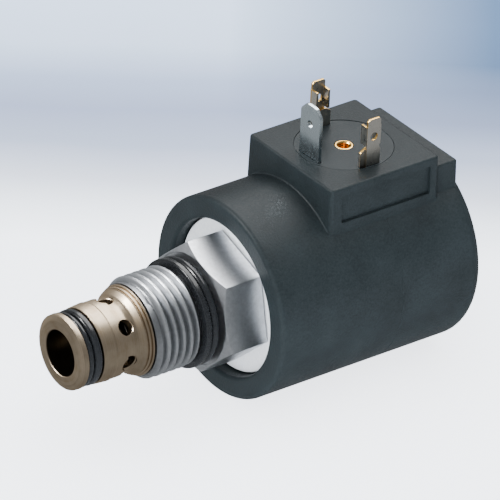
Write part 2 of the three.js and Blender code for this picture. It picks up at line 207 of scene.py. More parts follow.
def new_piece(name, points, faces):
    """A closed piece from corner points in millimetres."""
    mesh = bpy.data.meshes.new(name)
    mesh.from_pydata([[c * MM for c in point] for point in points], [], faces)
    made = bpy.data.objects.new(name, mesh)
    bpy.context.scene.collection.objects.link(made)
    return weld(made)


def bake(made):
    """Leaves the result of a piece's modifiers as its own plain mesh."""
    view = bpy.context.evaluated_depsgraph_get()
    mesh = bpy.data.meshes.new_from_object(made.evaluated_get(view), depsgraph=view)
    made.modifiers.clear()
    old, made.data = made.data, mesh
    bpy.data.meshes.remove(old)
    mesh.name = made.name
    return made


def carve(made, tool, operation="DIFFERENCE", solver="MANIFOLD"):
    """Cuts a closed tool out of a piece, or joins it on."""
    modifier = made.modifiers.new("carve", "BOOLEAN")
    modifier.object = tool
    modifier.operation = operation
    modifier.solver = solver
    bake(made)
    bpy.data.objects.remove(tool)
    if not made.data.polygons:
        raise RuntimeError(f"{made.name}: nothing is left after a cut")
    return made


def shade(made, sharp=26.0):
    """Smooth shading that keeps flats flat and true edges sharp."""
    made.data.shade_smooth()
    made.data.set_sharp_from_angle(angle=math.radians(sharp))
    modifier = made.modifiers.new("weighted", "WEIGHTED_NORMAL")
    modifier.keep_sharp = True
    modifier.weight = 80
    return bake(made)


def rounded(outline, steps=5, closed=True):
    """An outline of (x, radius, fillet) corners, with each fillet turned into an arc."""
    points = []
    count = len(outline)
    for i, (x, y, *fillet) in enumerate(outline):
        here = complex(x, y)
        if not fillet or not fillet[0] or (not closed and i in (0, count - 1)):
            points.append(here)
            continue
        before = complex(*outline[i - 1][:2]) - here
        after = complex(*outline[(i + 1) % count][:2]) - here
        to_before, to_after = before / abs(before), after / abs(after)
        half = abs(cmath.phase(to_after / to_before)) / 2
        reach = min(fillet[0] / math.tan(half), 0.48 * abs(before), 0.48 * abs(after))
        middle = (to_before + to_after) / abs(to_before + to_after)
        centre = here + middle * reach / math.cos(half)
        start, end = here + to_before * reach - centre, here + to_after * reach - centre
        sweep = cmath.phase(end / start)
        points += [centre + start * cmath.rect(1, sweep * k / steps) for k in range(steps + 1)]
    return [(point.real, point.imag) for point in points]


def divided(points, longest, low=-math.inf, high=math.inf):
    """An outline whose long straights between two stations are cut into short ones."""
    cut = []
    for (x0, y0), (x1, y1) in zip(points, points[1:] + points[:1]):
        cut.append((x0, y0))
        inside = min(x0, x1) >= low - 1e-6 and max(x0, x1) <= high + 1e-6
        parts = math.ceil(math.hypot(x1 - x0, y1 - y0) / longest) if inside else 1
        cut += [(x0 + (x1 - x0) * k / parts, y0 + (y1 - y0) * k / parts) for k in range(1, parts)]
    return cut


def ring_faces(rows, sides, closed):
    """Quads between neighbouring rings of corners, round a turned piece."""
    faces = []
    for i in range(rows if closed else rows - 1):
        for j in range(sides):
            across = (j + 1) % sides
            after = (i + 1) % rows
            faces.append((i * sides + j, i * sides + across, after * sides + across, after * sides + j))
    return faces


def turned(name, points, sides=128):
    """A piece turned about the valve's axis from (x, radius) points."""
    angles = [2 * math.pi * j / sides for j in range(sides)]
    corners = [(x, -r * math.sin(a), r * math.cos(a)) for x, r in points for a in angles]
    return new_piece(name, corners, ring_faces(len(points), sides, points[0][1] > 1e-6))


def seal(x, radius, section, steps=28):
    """An O-ring's round section."""
    arcs = [2 * math.pi * k / steps for k in range(steps)]
    return [(x + section * math.cos(a), radius + section * math.sin(a)) for a in arcs]


def prism(name, outline, z0, z1, edge=0.0, steps=2):
    """An upright bar from an (x, y) outline, its end edges rounded."""
    count = len(outline)
    levels = [(z0, 0.0), (z1, 0.0)]
    if edge:
        arcs = [math.pi / 2 * k / steps for k in range(steps, -1, -1)]
        low = [(z0 + edge * (1 - math.sin(a)), edge * (1 - math.cos(a))) for a in arcs]
        levels = low + [(z1 - (z - z0), inset) for z, inset in reversed(low)]
    corners = [(x, y, z) for z, inset in levels for x, y in inset_outline(outline, inset)]
    faces = ring_faces(len(levels), count, False)
    faces.append(tuple(reversed(range(count))))
    faces.append(tuple(range((len(levels) - 1) * count, len(levels) * count)))
    return new_piece(name, corners, faces)


def inset_outline(outline, inset):
    """A convex or gently curved outline, moved in square to its sides."""
    if not inset:
        return outline
    moved = []
    area = sum(x0 * y1 - x1 * y0 for (x0, y0), (x1, y1) in zip(outline, outline[1:] + outline[:1]))
    inward = 1j if area > 0 else -1j
    for i, (x, y) in enumerate(outline):
        here = complex(x, y)
        before = here - complex(*outline[i - 1])
        after = complex(*outline[(i + 1) % len(outline)]) - here
        side_a, side_b = before / abs(before) * inward, after / abs(after) * inward
        middle = side_a + side_b
        point = here + middle * inset / (abs(middle) ** 2 / 2)
        moved.append((point.real, point.imag))
    return moved


def box(name, low, high, edge=0.0):
    """A straight-sided block, for cutting or joining."""
    (x0, y0, z0), (x1, y1, z1) = low, high
    outline = rounded([(x0, y0, edge), (x1, y0, edge), (x1, y1, edge), (x0, y1, edge)], 3)
    return prism(name, outline, z0, z1)


def post(name, x, y, z0, z1, radius, sides=64, edge=0.0):
    """An upright round bar."""
    angles = [2 * math.pi * j / sides for j in range(sides)]
    circle = [(x + radius * math.cos(a), y + radius * math.sin(a)) for a in angles]
    return prism(name, circle, z0, z1, edge, 3)


def placed(made, matrix):
    """Moves a piece's mesh, so that its object stays at the origin."""
    made.data.transform(matrix)
    made.data.update()
    return made


def stand_up(x, y, z):
    """Turns a piece made about the valve's axis upright, and moves it. Millimetres."""
    return Matrix.Translation(Vector((x, y, z)) * MM) @ Matrix.Rotation(-math.pi / 2, 4, "Y")


def settle(made, slot, *nodes):
    """Paints a finished piece, hangs it on its body and lets it stand for its nodes."""
    made.data.materials.clear()
    made.data.materials.append(finish(slot))
    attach(made, BODY_OF[nodes[0]])
    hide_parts(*nodes)
    return made


# ---------------------------------------------------------------- node helpers
def node(tree, kind, inputs=None, **settings):
    """A node whose inputs are given as plain values or as other nodes' outputs."""
    made = tree.nodes.new(kind)
    for key, value in settings.items():
        setattr(made, key, value)
    for key, value in (inputs or {}).items():
        if isinstance(value, bpy.types.NodeSocket):
            tree.links.new(value, made.inputs[key])
        else:
            made.inputs[key].default_value = value
    return made


def sums(tree, operation, *values):
    """The output of one Math node."""
    return node(tree, "ShaderNodeMath", dict(enumerate(values)), operation=operation).outputs[0]


def ramp(tree, fac, stops):
    """Blends through stops, each a place and either a grey level or a colour."""
    made = node(tree, "ShaderNodeValToRGB", {"Fac": fac})
    elements = made.color_ramp.elements
    for place, _ in stops[1:-1]:
        elements.new(place)
    for element, (place, level) in zip(elements, stops):
        red, green, blue = level if hasattr(level, "__len__") else (level, level, level)
        element.position = place
        element.color = (red, green, blue, 1.0)
    return made.outputs["Color"]


def new_tree(name, inputs):
    """A Geometry Nodes tree with named inputs after its geometry."""
    tree = bpy.data.node_groups.new(name, "GeometryNodeTree")
    tree.interface.new_socket("Geometry", in_out="INPUT", socket_type="NodeSocketGeometry")
    for label, kind in inputs:
        tree.interface.new_socket(label, in_out="INPUT", socket_type=kind)
    tree.interface.new_socket("Geometry", in_out="OUTPUT", socket_type="NodeSocketGeometry")
    return tree, tree.nodes.new("NodeGroupInput"), tree.nodes.new("NodeGroupOutput")


def end_tree(tree, source, output, geometry):
    """Closes a tree with Realize Instances and Set Material."""
    real = node(tree, "GeometryNodeRealizeInstances", {"Geometry": geometry})
    last = node(tree, "GeometryNodeSetMaterial", {
        "Geometry": real.outputs[0],
        "Material": source.outputs["Material"],
    })
    tree.links.new(last.outputs[0], output.inputs[0])


def run_tree(made, tree, **values):
    """Runs a tree on a piece and keeps the result as a plain mesh."""
    modifier = made.modifiers.new(tree.name, "NODES")
    modifier.node_group = tree
    sockets = {item.name: item for item in tree.interface.items_tree if item.in_out == "INPUT"}
    for label, value in values.items():
        modifier[sockets[label.replace("_", " ")].identifier] = value
    return bake(made)


def thread_tree():
    """Presses a screw thread, or the ridges of a close winding, into a turned surface."""
    name = "screw_thread"
    if name in bpy.data.node_groups:
        return bpy.data.node_groups[name]
    floats = ["Pitch", "Depth", "Crest", "First", "Turn", "Start", "End", "Side", "Fullness"]
    inputs = [(label, "NodeSocketFloat") for label in floats]
    inputs.append(("Material", "NodeSocketMaterial"))
    tree, source, output = new_tree(name, inputs)
    value = source.outputs
    position = tree.nodes.new("GeometryNodeInputPosition").outputs[0]
    x, y, z = node(tree, "ShaderNodeSeparateXYZ", {0: position}).outputs
    radius = sums(tree, "SQRT", sums(tree, "ADD", sums(tree, "MULTIPLY", y, y), sums(tree, "MULTIPLY", z, z)))
    angle = sums(tree, "SUBTRACT", sums(tree, "ARCTAN2", z, y), value["Turn"])
    travel = sums(tree, "DIVIDE", sums(tree, "SUBTRACT", x, value["First"]), value["Pitch"])
    phase = sums(tree, "FRACT", sums(tree, "SUBTRACT", travel, sums(tree, "DIVIDE", angle, 2 * math.pi)))
    off_root = sums(tree, "ABSOLUTE", sums(tree, "SUBTRACT", phase, 0.5))
    wave = sums(tree, "MULTIPLY", sums(tree, "MULTIPLY_ADD", off_root, 4.0, -1.0), value["Fullness"])
    held = sums(tree, "MAXIMUM", sums(tree, "MINIMUM", wave, 1.0), -1.0)
    height = sums(tree, "SINE", sums(tree, "MULTIPLY", held, math.pi / 2))
    half_depth = sums(tree, "MULTIPLY", value["Depth"], 0.5)
    drop = sums(tree, "MULTIPLY", sums(tree, "SUBTRACT", 1.0, height), half_depth)
    signed_crest = sums(tree, "MULTIPLY", value["Crest"], value["Side"])
    signed_radius = sums(tree, "MULTIPLY", radius, value["Side"])
    cut = sums(tree, "MINIMUM", signed_radius, sums(tree, "SUBTRACT", signed_crest, drop))
    scale = sums(tree, "DIVIDE", sums(tree, "MULTIPLY", cut, value["Side"]), radius)
    floor = sums(tree, "SUBTRACT", signed_crest, sums(tree, "MULTIPLY", value["Depth"], 1.2))
    in_reach = sums(tree, "GREATER_THAN", signed_radius, floor)
    after_start = sums(tree, "GREATER_THAN", x, value["Start"])
    before_end = sums(tree, "LESS_THAN", x, value["End"])
    chosen = sums(tree, "MULTIPLY", in_reach, sums(tree, "MULTIPLY", after_start, before_end))
    moved = node(tree, "ShaderNodeCombineXYZ", {
        0: x,
        1: sums(tree, "MULTIPLY", y, scale),
        2: sums(tree, "MULTIPLY", z, scale),
    })
    pressed = node(tree, "GeometryNodeSetPosition", {
        "Geometry": source.outputs["Geometry"],
        "Selection": chosen,
        "Position": moved.outputs[0],
    })
    end_tree(tree, source, output, pressed.outputs[0])
    return tree


def press_thread(
    made, slot, pitch, depth, crest, start, end, first=0.0, turn_to=0.0, side=1.0, fullness=1.15
):
    """Runs the thread tree on a piece. Lengths in millimetres."""
    return run_tree(
        made, thread_tree(), Pitch=pitch * MM, Depth=depth * MM, Crest=crest * MM, First=first * MM,
        Turn=turn_to, Start=start * MM, End=end * MM, Side=side, Fullness=fullness, Material=finish(slot),
    )


def spring_tree():
    """A coil spring wound about the valve's axis, its end turns laid close."""
    name = "coil_spring"
    if name in bpy.data.node_groups:
        return bpy.data.node_groups[name]
    inputs = [(label, "NodeSocketFloat") for label in ("Front", "Length", "Radius", "Wire", "Turns")]
    inputs.append(("Material", "NodeSocketMaterial"))
    tree, source, output = new_tree(name, inputs)
    value = source.outputs
    spiral = node(tree, "GeometryNodeCurveSpiral", {
        "Resolution": 40,
        "Rotations": value["Turns"],
        "Start Radius": value["Radius"],
        "End Radius": value["Radius"],
        "Height": 1.0,
    })
    position = tree.nodes.new("GeometryNodeInputPosition").outputs[0]
    x, y, z = node(tree, "ShaderNodeSeparateXYZ", {0: position}).outputs
    closeness = 0.085  # how much the end turns are drawn together
    swing = sums(tree, "SINE", sums(tree, "MULTIPLY", z, 2 * math.pi))
    eased = sums(tree, "SUBTRACT", z, sums(tree, "MULTIPLY", swing, closeness))
    inner = sums(tree, "SUBTRACT", value["Length"], value["Wire"])
    half_wire = sums(tree, "MULTIPLY", value["Wire"], 0.5)
    within = sums(tree, "ADD", half_wire, sums(tree, "MULTIPLY", eased, inner))
    along = sums(tree, "ADD", value["Front"], within)
    laid = node(tree, "ShaderNodeCombineXYZ", {0: along, 1: x, 2: y})
    bent = node(tree, "GeometryNodeSetPosition", {"Geometry": spiral.outputs[0], "Position": laid.outputs[0]})
    section = node(tree, "GeometryNodeCurvePrimitiveCircle", {"Resolution": 14, "Radius": half_wire})
    tube = node(tree, "GeometryNodeCurveToMesh", {
        "Curve": bent.outputs[0],
        "Profile Curve": section.outputs[0],
        "Fill Caps": True,
    })
    end_tree(tree, source, output, tube.outputs[0])
    return tree


# ---------------------------------------------------------------- finishes
class Finish:
    """A material on object coordinates, in millimetres."""

    def __init__(self, name, roughness, metallic=0.0, **constants):
        self.material = bpy.data.materials.new(name)
        self.material.use_nodes = True
        self.tree = self.material.node_tree
        self.shader = self.tree.nodes["Principled BSDF"]
        self.set("Roughness", roughness)
        self.set("Metallic", metallic)
        for label, value in constants.items():
            self.set(label.replace("_", " "), value)
        place = self.tree.nodes.new("ShaderNodeTexCoord").outputs["Object"]
        self.place = self.scaled(place, (1 / MM,) * 3)

    def set(self, label, value):
        if isinstance(value, bpy.types.NodeSocket):
            self.tree.links.new(value, self.shader.inputs[label])
        else:
            self.shader.inputs[label].default_value = value

    def scaled(self, vector, scale):
        return node(self.tree, "ShaderNodeMapping", {"Vector": vector, "Scale": scale}).outputs[0]

    def maths(self, operation, *values):
        return sums(self.tree, operation, *values)

    def noise(self, scale, detail=2.0, roughness=0.5, stretch=(1, 1, 1), where=None):
        made = node(self.tree, "ShaderNodeTexNoise", {
            "Vector": self.scaled(where or self.place, stretch),
            "Scale": scale,
            "Detail": detail,
            "Roughness": roughness,
        })
        return made.outputs["Fac"]

    def round_place(self, around=1.0):
        """Coordinates that follow a turned surface: along, out and, weakly, around."""
        x, y, z = node(self.tree, "ShaderNodeSeparateXYZ", {0: self.place}).outputs
        squares = self.maths("ADD", self.maths("MULTIPLY", y, y), self.maths("MULTIPLY", z, z))
        out = self.maths("SQRT", squares)
        angle = self.maths("ARCTAN2", z, y)
        sweep = self.maths("MULTIPLY", self.maths("SINE", angle), around)
        return node(self.tree, "ShaderNodeCombineXYZ", {0: x, 1: out, 2: sweep}).outputs[0]

    def parts(self, vector):
        """The three numbers of a vector."""
        return node(self.tree, "ShaderNodeSeparateXYZ", {0: vector}).outputs

    def blend(self, colour, level):
        """A colour, darkened by a level from 0 to 1."""
        inputs = {0: 1.0, 6: colour, 7: level}  # the share, and the two sides of a colour mix
        return node(self.tree, "ShaderNodeMix", inputs, data_type="RGBA", blend_type="MULTIPLY").outputs[2]

    def ramp(self, fac, stops):
        return ramp(self.tree, fac, stops)

    def range(self, fac, low, high, start=0.3, end=0.7):
        """Runs from low to high while the input runs from start to end."""
        made = node(self.tree, "ShaderNodeMapRange", {
            "Value": fac, "From Min": start, "From Max": end, "To Min": low, "To Max": high,
        })
        return made.outputs[0]

    def tint(self, colour, low, high, fac):
        """The base colour, darker and lighter with a pattern."""
        dark = [c * low for c in colour]
        light = [min(1.0, c * high) for c in colour]
        self.set("Base Color", self.ramp(fac, [(0.32, dark), (0.68, light)]))

    def bump(self, height, strength, depth, under=None):
        inputs = {"Height": height, "Strength": strength, "Distance": depth * MM}
        if under:
            inputs["Normal"] = under
        made = node(self.tree, "ShaderNodeBump", inputs).outputs[0]
        self.set("Normal", made)
        return made


def colours():
    return bpy.context.scene.valve_colours


def turned_metal(name, colour, roughness, spread, marks=0.35, low=0.82, high=1.12):
    """Turned metal: fine rings round the axis, over a faint cloudiness."""
    made = Finish(name, roughness, 1.0, Anisotropic=0.45)
    made.set("Tangent", node(made.tree, "ShaderNodeTangent", direction_type="RADIAL", axis="X").outputs[0])
    along = made.round_place(0.6)
    rings = made.noise(4.0, 5.0, 0.65, (1, 1, 0.12), along)
    cloud = made.noise(0.35, 4.0, 0.6)
    both = made.maths("ADD", made.maths("MULTIPLY", rings, 0.6), made.maths("MULTIPLY", cloud, 0.4))
    made.tint(colour, low, high, both)
    made.set("Roughness", made.range(rings, roughness - spread, roughness + spread))
    made.bump(rings, marks, 0.012)
    return made.material


def bronze_steel(name):
    """Warm satin steel with turning rings and brown stains, darkened inside its bore and ports by painted
    shade.
    """
    made = Finish(name, 0.3, 1.0, Anisotropic=0.5)
    made.set("Tangent", node(made.tree, "ShaderNodeTangent", direction_type="RADIAL", axis="X").outputs[0])
    along = made.round_place(0.5)
    rings = made.noise(5.5, 5.0, 0.7, (1, 1, 0.1), along)
    stain = made.noise(0.32, 5.0, 0.62)
    colour = Vector(colours().bronze)
    pale = colour * 1.25
    brown = Vector((colour.x * 0.74, colour.y * 0.66, colour.z * 0.54))
    mixed = made.maths("ADD", made.maths("MULTIPLY", rings, 0.45), made.maths("MULTIPLY", stain, 0.55))
    tone = made.ramp(mixed, [(0.3, brown), (0.5, colour), (0.7, pale)])
    x, out, _ = made.parts(along)
    # painted shade: the colour darkens towards the axis, inside the bore
    inside = made.range(out, 0.28, 1.0, 4.9, 6.9)
    face = made.range(x, 1.0, 0.0, -31.4, -30.6)  # the painted shade spares the front face, which is lit although it lies near the axis
    painted_bore_shade = made.maths("MAXIMUM", inside, made.maths("MULTIPLY", face, 0.9))
    made.set("Base Color", made.blend(tone, painted_bore_shade))
    # the painted shade also dims the bore's reflections
    made.set("Specular Tint", made.blend((1.0, 0.9, 0.8, 1.0), painted_bore_shade))
    made.set("Roughness", made.range(mixed, 0.4, 0.26))
    made.bump(rings, 0.5, 0.02)
    return made.material


def plated_steel(name):
    """Bright zinc with a cloudy mottle, with painted shade in the roots of the thread."""
    made = Finish(name, 0.3, 0.985)
    along = made.round_place(0.4)
    rings = made.noise(6.0, 4.0, 0.6, (1, 1, 0.1), along)
    mottle = made.noise(1.1, 4.0, 0.6)
    grain = made.noise(9.0, 3.0, 0.7)
    both = made.maths("ADD", made.maths("MULTIPLY", mottle, 0.7), made.maths("MULTIPLY", rings, 0.3))
    zinc = Vector(colours().zinc)
    tone = made.ramp(both, [(0.3, zinc * 0.84), (0.7, zinc * 1.16)])
    x, out, _ = made.parts(along)
    # painted shade: darker below the crests, in the thread's roots and on the front face, up to where the
    # thread ends
    root = made.range(out, 0.5, 1.0, 9.45, 10.35)
    behind_thread = made.range(x, 0.0, 1.0, -4.4, -4.0)
    made.set("Base Color", made.blend(tone, made.maths("MAXIMUM", root, behind_thread)))
    made.set("Roughness", made.range(mottle, 0.4, 0.29))
    first = made.bump(mottle, 0.04, 0.03)
    second = made.bump(rings, 0.3, 0.01, first)
    made.bump(grain, 0.12, 0.006, second)
    return made.material


def plate_steel(name):
    """The end plates' pale, matt zinc."""
    made = Finish(name, 0.36, 0.2)
    mottle = made.noise(1.1, 5.0, 0.7)
    grain = made.noise(7.0, 3.0, 0.6)
    made.tint([min(1.0, c * 1.5) for c in colours().zinc], 0.93, 1.07, mottle)
    made.set("Roughness", made.range(mottle, 0.42, 0.3))
    made.bump(grain, 0.3, 0.012)
    return made.material


def rubber(name):
    """Smooth black rubber."""
    made = Finish(name, 0.2, 0.0, Specular_IOR_Level=0.4)
    wear = made.noise(0.6, 2.0, 0.5)
    made.tint(colours().rubber, 0.9, 1.15, wear)
    made.set("Roughness", made.range(wear, 0.18, 0.26))
    made.bump(made.noise(14.0, 2.0), 0.05, 0.01)
    return made.material


def plastic(name, colour, roughness=0.46, level=0.13, grain=1.0, cell=2.2):
    """Moulded plastic with an eroded texture: a fine even grain that breaks the gloss into specks."""
    made = Finish(name, roughness, 0.0, Specular_IOR_Level=level)
    fine = made.noise(cell, 3.0, 0.62)
    speck = made.noise(cell * 2.3, 2.0, 0.5)
    cloud = made.noise(0.12, 3.0, 0.5)
    both = made.maths("ADD", made.maths("MULTIPLY", cloud, 0.4), made.maths("MULTIPLY", fine, 0.6))
    made.tint(colour, 0.72, 1.32, both)
    made.set("Roughness", made.range(fine, roughness - 0.1, roughness + 0.12))
    under = made.bump(fine, grain, 0.06)
    made.bump(speck, grain * 0.6, 0.025, under)
    return made.material


def tin_plate(name, colour, roughness=0.3, streak=(1, 1, 0.12)):
    """Plated strip with rolling streaks along its height, rubbed brighter in places."""
    made = Finish(name, roughness, 1.0)
    streaks = made.noise(5.0, 4.0, 0.65, streak)
    wear = made.noise(0.8, 5.0, 0.7)
    both = made.maths("ADD", made.maths("MULTIPLY", streaks, 0.5), made.maths("MULTIPLY", wear, 0.5))
    made.tint(colour, 0.82, 1.14, both)
    made.set("Roughness", made.range(wear, roughness - 0.08, roughness + 0.12))
    made.bump(streaks, 0.25, 0.008)
    return made.material


def terminal_brass(name):
    return tin_plate(name, colours().tin, 0.3)


def cut_brass(name):
    return tin_plate(name, colours().brass, 0.34, (1, 1, 1))


def tinned_tab(name):
    return tin_plate(name, colours().zinc_blue, 0.22)


def winding_copper(name):
    return turned_metal(name, colours().copper, 0.3, 0.08, 0.2)


def brass(name):
    return turned_metal(name, colours().brass, 0.24, 0.08, 0.25, 0.85, 1.15)


FINISHES = {
    "bronze_steel": bronze_steel,
    "plated_steel": plated_steel,
    "plate_steel": plate_steel,
    "rubber": rubber,
    "backup_plastic": lambda name: plastic(name, colours().rubber, 0.24, 0.4, 0.05, 6.0),
    "coil_plastic": lambda name: plastic(name, colours().plastic),
    "carrier_plastic": lambda name: plastic(name, colours().carrier, 0.42, 0.13, 0.4),
    "bobbin_plastic": lambda name: plastic(name, (0.05, 0.052, 0.056), 0.45, 0.5, 0.2),
    # the poppet's and pin's steel is painted at half brightness: painted shade for where they lie inside the
    # cage
    "ground_steel": lambda name: turned_metal(name, [c * 0.5 for c in colours().steel], 0.2, 0.06, 0.15),
    "soft_iron": lambda name: turned_metal(name, [c * 0.85 for c in colours().steel], 0.32, 0.08, 0.25),
    "stainless_tube": lambda name: turned_metal(name, colours().steel, 0.25, 0.07, 0.2),
    "yoke_steel": lambda name: turned_metal(name, [c * 0.7 for c in colours().steel], 0.42, 0.1, 0.3),
    "nut_steel": lambda name: turned_metal(name, colours().zinc, 0.3, 0.1, 0.25),
    "spring_steel": lambda name: tin_plate(name, colours().steel, 0.26, (1, 1, 1)),
    "shim_brass": brass,
    "insert_brass": brass,
    "tinned_tab": tinned_tab,
    "terminal_brass": terminal_brass,
    "terminal_edge": cut_brass,
    "winding_copper": winding_copper,
}


def finish(slot):
    """The fine finish of a slot, made the first time that it is asked for."""
    name = f"{slot}_finish"
    return bpy.data.materials.get(name) or FINISHES[slot](name)


# ---------------------------------------------------------------- stage
PAPER_AND_PAINTED_SHADE = [  # the paper's tones from the front of the floor to the back, darkened behind by painted shade
    (0.0, (0.85, 0.88, 0.94)),
    (0.37, (0.79, 0.83, 0.89)),
    (0.46, (0.58, 0.62, 0.68)),
    (0.54, (0.36, 0.39, 0.46)),
    (0.63, (0.21, 0.245, 0.33)),
    (0.72, (0.165, 0.198, 0.285)),
    (0.80, (0.20, 0.245, 0.35)),
    (0.89, (0.31, 0.38, 0.50)),
    (1.0, (0.34, 0.42, 0.55)),
]
ROOM_LEVELS = [  # brightness of the room from straight down, 0, to straight up, 1
    (0.0, 0.3), (0.12, 0.35), (0.25, 0.45), (0.34, 0.38), (0.42, 0.4), (0.5, 0.36), (0.62, 0.26), (1.0, 0.3),
]


def level_sheet(name, half, height, side):
    """A level square for the stage, in metres, facing up where side is 1 and down where it is -1."""
    reach = half * side
    corners = [(-half, -reach, height), (half, -reach, height), (half, reach, height), (-half, reach, height)]
    mesh = bpy.data.meshes.new(name)
    mesh.from_pydata(corners, [], [(0, 1, 2, 3)])
    sheet = bpy.data.objects.new(name, mesh)
    bpy.context.scene.collection.objects.link(sheet)
    return sheet


def studio_floor(below):
    """A wide pale floor that glows with painted light and darkens behind to a cooler grey with painted shade.
    """
    floor = level_sheet("studio_floor", 30.0, below, 1)
    made = Finish("studio_paper", 0.9, 0.0, Specular_IOR_Level=0.05)
    x, y, _ = made.parts(made.place)
    away_x, away_y = 0.614, 0.789  # the way along the floor that leads away from the camera
    far = made.maths("ADD", made.maths("MULTIPLY", x, away_x), made.maths("MULTIPLY", y, away_y))
    across = made.maths("SUBTRACT", made.maths("MULTIPLY", x, away_y), made.maths("MULTIPLY", y, away_x))
    drift = made.maths("MULTIPLY", made.maths("SUBTRACT", made.noise(0.012, 2.0), 0.5), 16.0)
    share = made.range(made.maths("ADD", far, drift), 0.0, 1.0, 0.0, 160.0)
    tone = made.ramp(share, PAPER_AND_PAINTED_SHADE)
    # painted shadow: the floor darkens further behind and to the right
    rise = made.range(far, 0.0, 1.0, 104.0, 142.0)
    right = made.maths("POWER", made.range(across, 0.0, 1.0, 5.0, 62.0), 0.7)
    shadow = made.maths("MULTIPLY", rise, right)
    painted_dusk_shade = made.ramp(shadow, [(0.0, (1.0, 1.0, 1.0)), (1.0, (0.17, 0.23, 0.31))])
    paper = made.blend(tone, painted_dusk_shade)
    made.set("Base Color", paper)
    made.set("Emission Color", paper)  # painted light: the paper glows in its own colour, which evens it so that the valve throws only a faint shadow
    made.set("Emission Strength", 3.3)
    made.material.cycles.emission_sampling = "NONE"
    floor.data.materials.append(made.material)
    floor.visible_glossy = False  # the metal mirrors the dim room instead of the paper


def sky_panel(strength):
    """A wide glowing panel overhead that only matt surfaces see, so that it leaves no glare."""
    panel = level_sheet("sky_panel", 1.2, 1.3, -1)
    glow = bpy.data.materials.new("sky_panel")
    glow.use_nodes = True
    shader = glow.node_tree.nodes["Principled BSDF"]
    shader.inputs["Base Color"].default_value = (0.0, 0.0, 0.0, 1.0)
    shader.inputs["Emission Color"].default_value = (0.93, 0.97, 1.0, 1.0)
    shader.inputs["Emission Strength"].default_value = strength
    glow.cycles.emission_sampling = "NONE"
    panel.data.materials.append(glow)
    panel.visible_glossy = False
    panel.visible_camera = False
    panel.visible_shadow = False


def soft_light(name, place, aim, wide, high, power, colour=(1, 1, 1)):
    """A rectangular softbox turned towards a point. Metres."""
    light = bpy.data.lights.new(name, "AREA")
    light.shape = "RECTANGLE"
    light.size, light.size_y = wide, high
    light.energy = power
    light.color = colour
    lamp = bpy.data.objects.new(name, light)
    lamp.location = place
    lamp.rotation_euler = (Vector(aim) - Vector(place)).to_track_quat("-Z", "Y").to_euler()
    bpy.context.scene.collection.objects.link(lamp)
    return lamp


def studio_air():
    """The dim room that the metal mirrors."""
    world = bpy.data.worlds.new("studio_air")
    world.use_nodes = True
    tree = world.node_tree
    place = tree.nodes.new("ShaderNodeTexCoord").outputs["Generated"]
    rise = node(tree, "ShaderNodeSeparateXYZ", {0: place}).outputs[2]
    height = node(tree, "ShaderNodeMapRange", {"Value": rise, "From Min": -1.0, "From Max": 1.0}).outputs[0]
    cool = [(spot, (bright * 0.95, bright * 0.98, bright)) for spot, bright in ROOM_LEVELS]
    tree.links.new(ramp(tree, height, cool), tree.nodes["Background"].inputs["Color"])
    bpy.context.scene.world = world


def studio_camera(settings):
    """A long lens at an angle round and above the valve, leaning a little."""
    azimuth, elevation, roll = settings.azimuth, settings.elevation, settings.roll
    level = math.cos(elevation)
    back = Vector((math.sin(azimuth) * level, -math.cos(azimuth) * level, math.sin(elevation)))
    right = Vector((math.cos(azimuth), math.sin(azimuth), 0.0))
    up = back.cross(right)
    leaned = right * math.cos(roll) + up * math.sin(roll)
    lifted = up * math.cos(roll) - right * math.sin(roll)
    camera = bpy.data.objects.new("camera", bpy.data.cameras.new("camera"))
    bpy.context.scene.collection.objects.link(camera)
    turn_to = Matrix((leaned, lifted, back)).transposed()
    place = Vector(settings.aim) + back * settings.distance
    camera.matrix_world = Matrix.Translation(place) @ turn_to.to_4x4()
    camera.data.sensor_width = 36.0
    camera.data.lens = settings.lens
    camera.data.clip_start, camera.data.clip_end = 0.1, 100.0
    camera.data.dof.use_dof = False
    bpy.context.scene.camera = camera


class VALVE_OT_studio(bpy.types.Operator):
    """Set up the floor, the soft lights and the camera"""

    bl_idname = "valve.studio"
    bl_label = "Studio"

    def execute(self, context):
        settings = context.scene.valve_studio
        middle = (CAD_BOX[0] + CAD_BOX[1]) / 2
        gap = 0.0002  # keeps the floor just clear of the valve
        studio_floor(CAD_BOX[0].z - gap)
        cool = (0.93, 0.97, 1.0)
        sky_panel(settings.sky)
        window = soft_light("window", (0.64, 0.32, 0.97), middle, 1.2, 1.0, settings.window)
        key = soft_light("key", (-0.75, 0.4, 0.8), middle, 0.3, 0.3, settings.key)
        front = soft_light("front", (-1.0, -0.5, 0.4), middle, 0.8, 0.8, settings.front)
        front.visible_glossy = False  # this one lights only what is matt
        back = soft_light("back", (0.79, 1.12, 0.6), middle, 1.3, 0.6, settings.back, cool)
        for lamp in (window, key, back):
            lamp.visible_diffuse = False  # these three are only mirrored
        studio_air()
        studio_camera(settings)
        return {"FINISHED"}


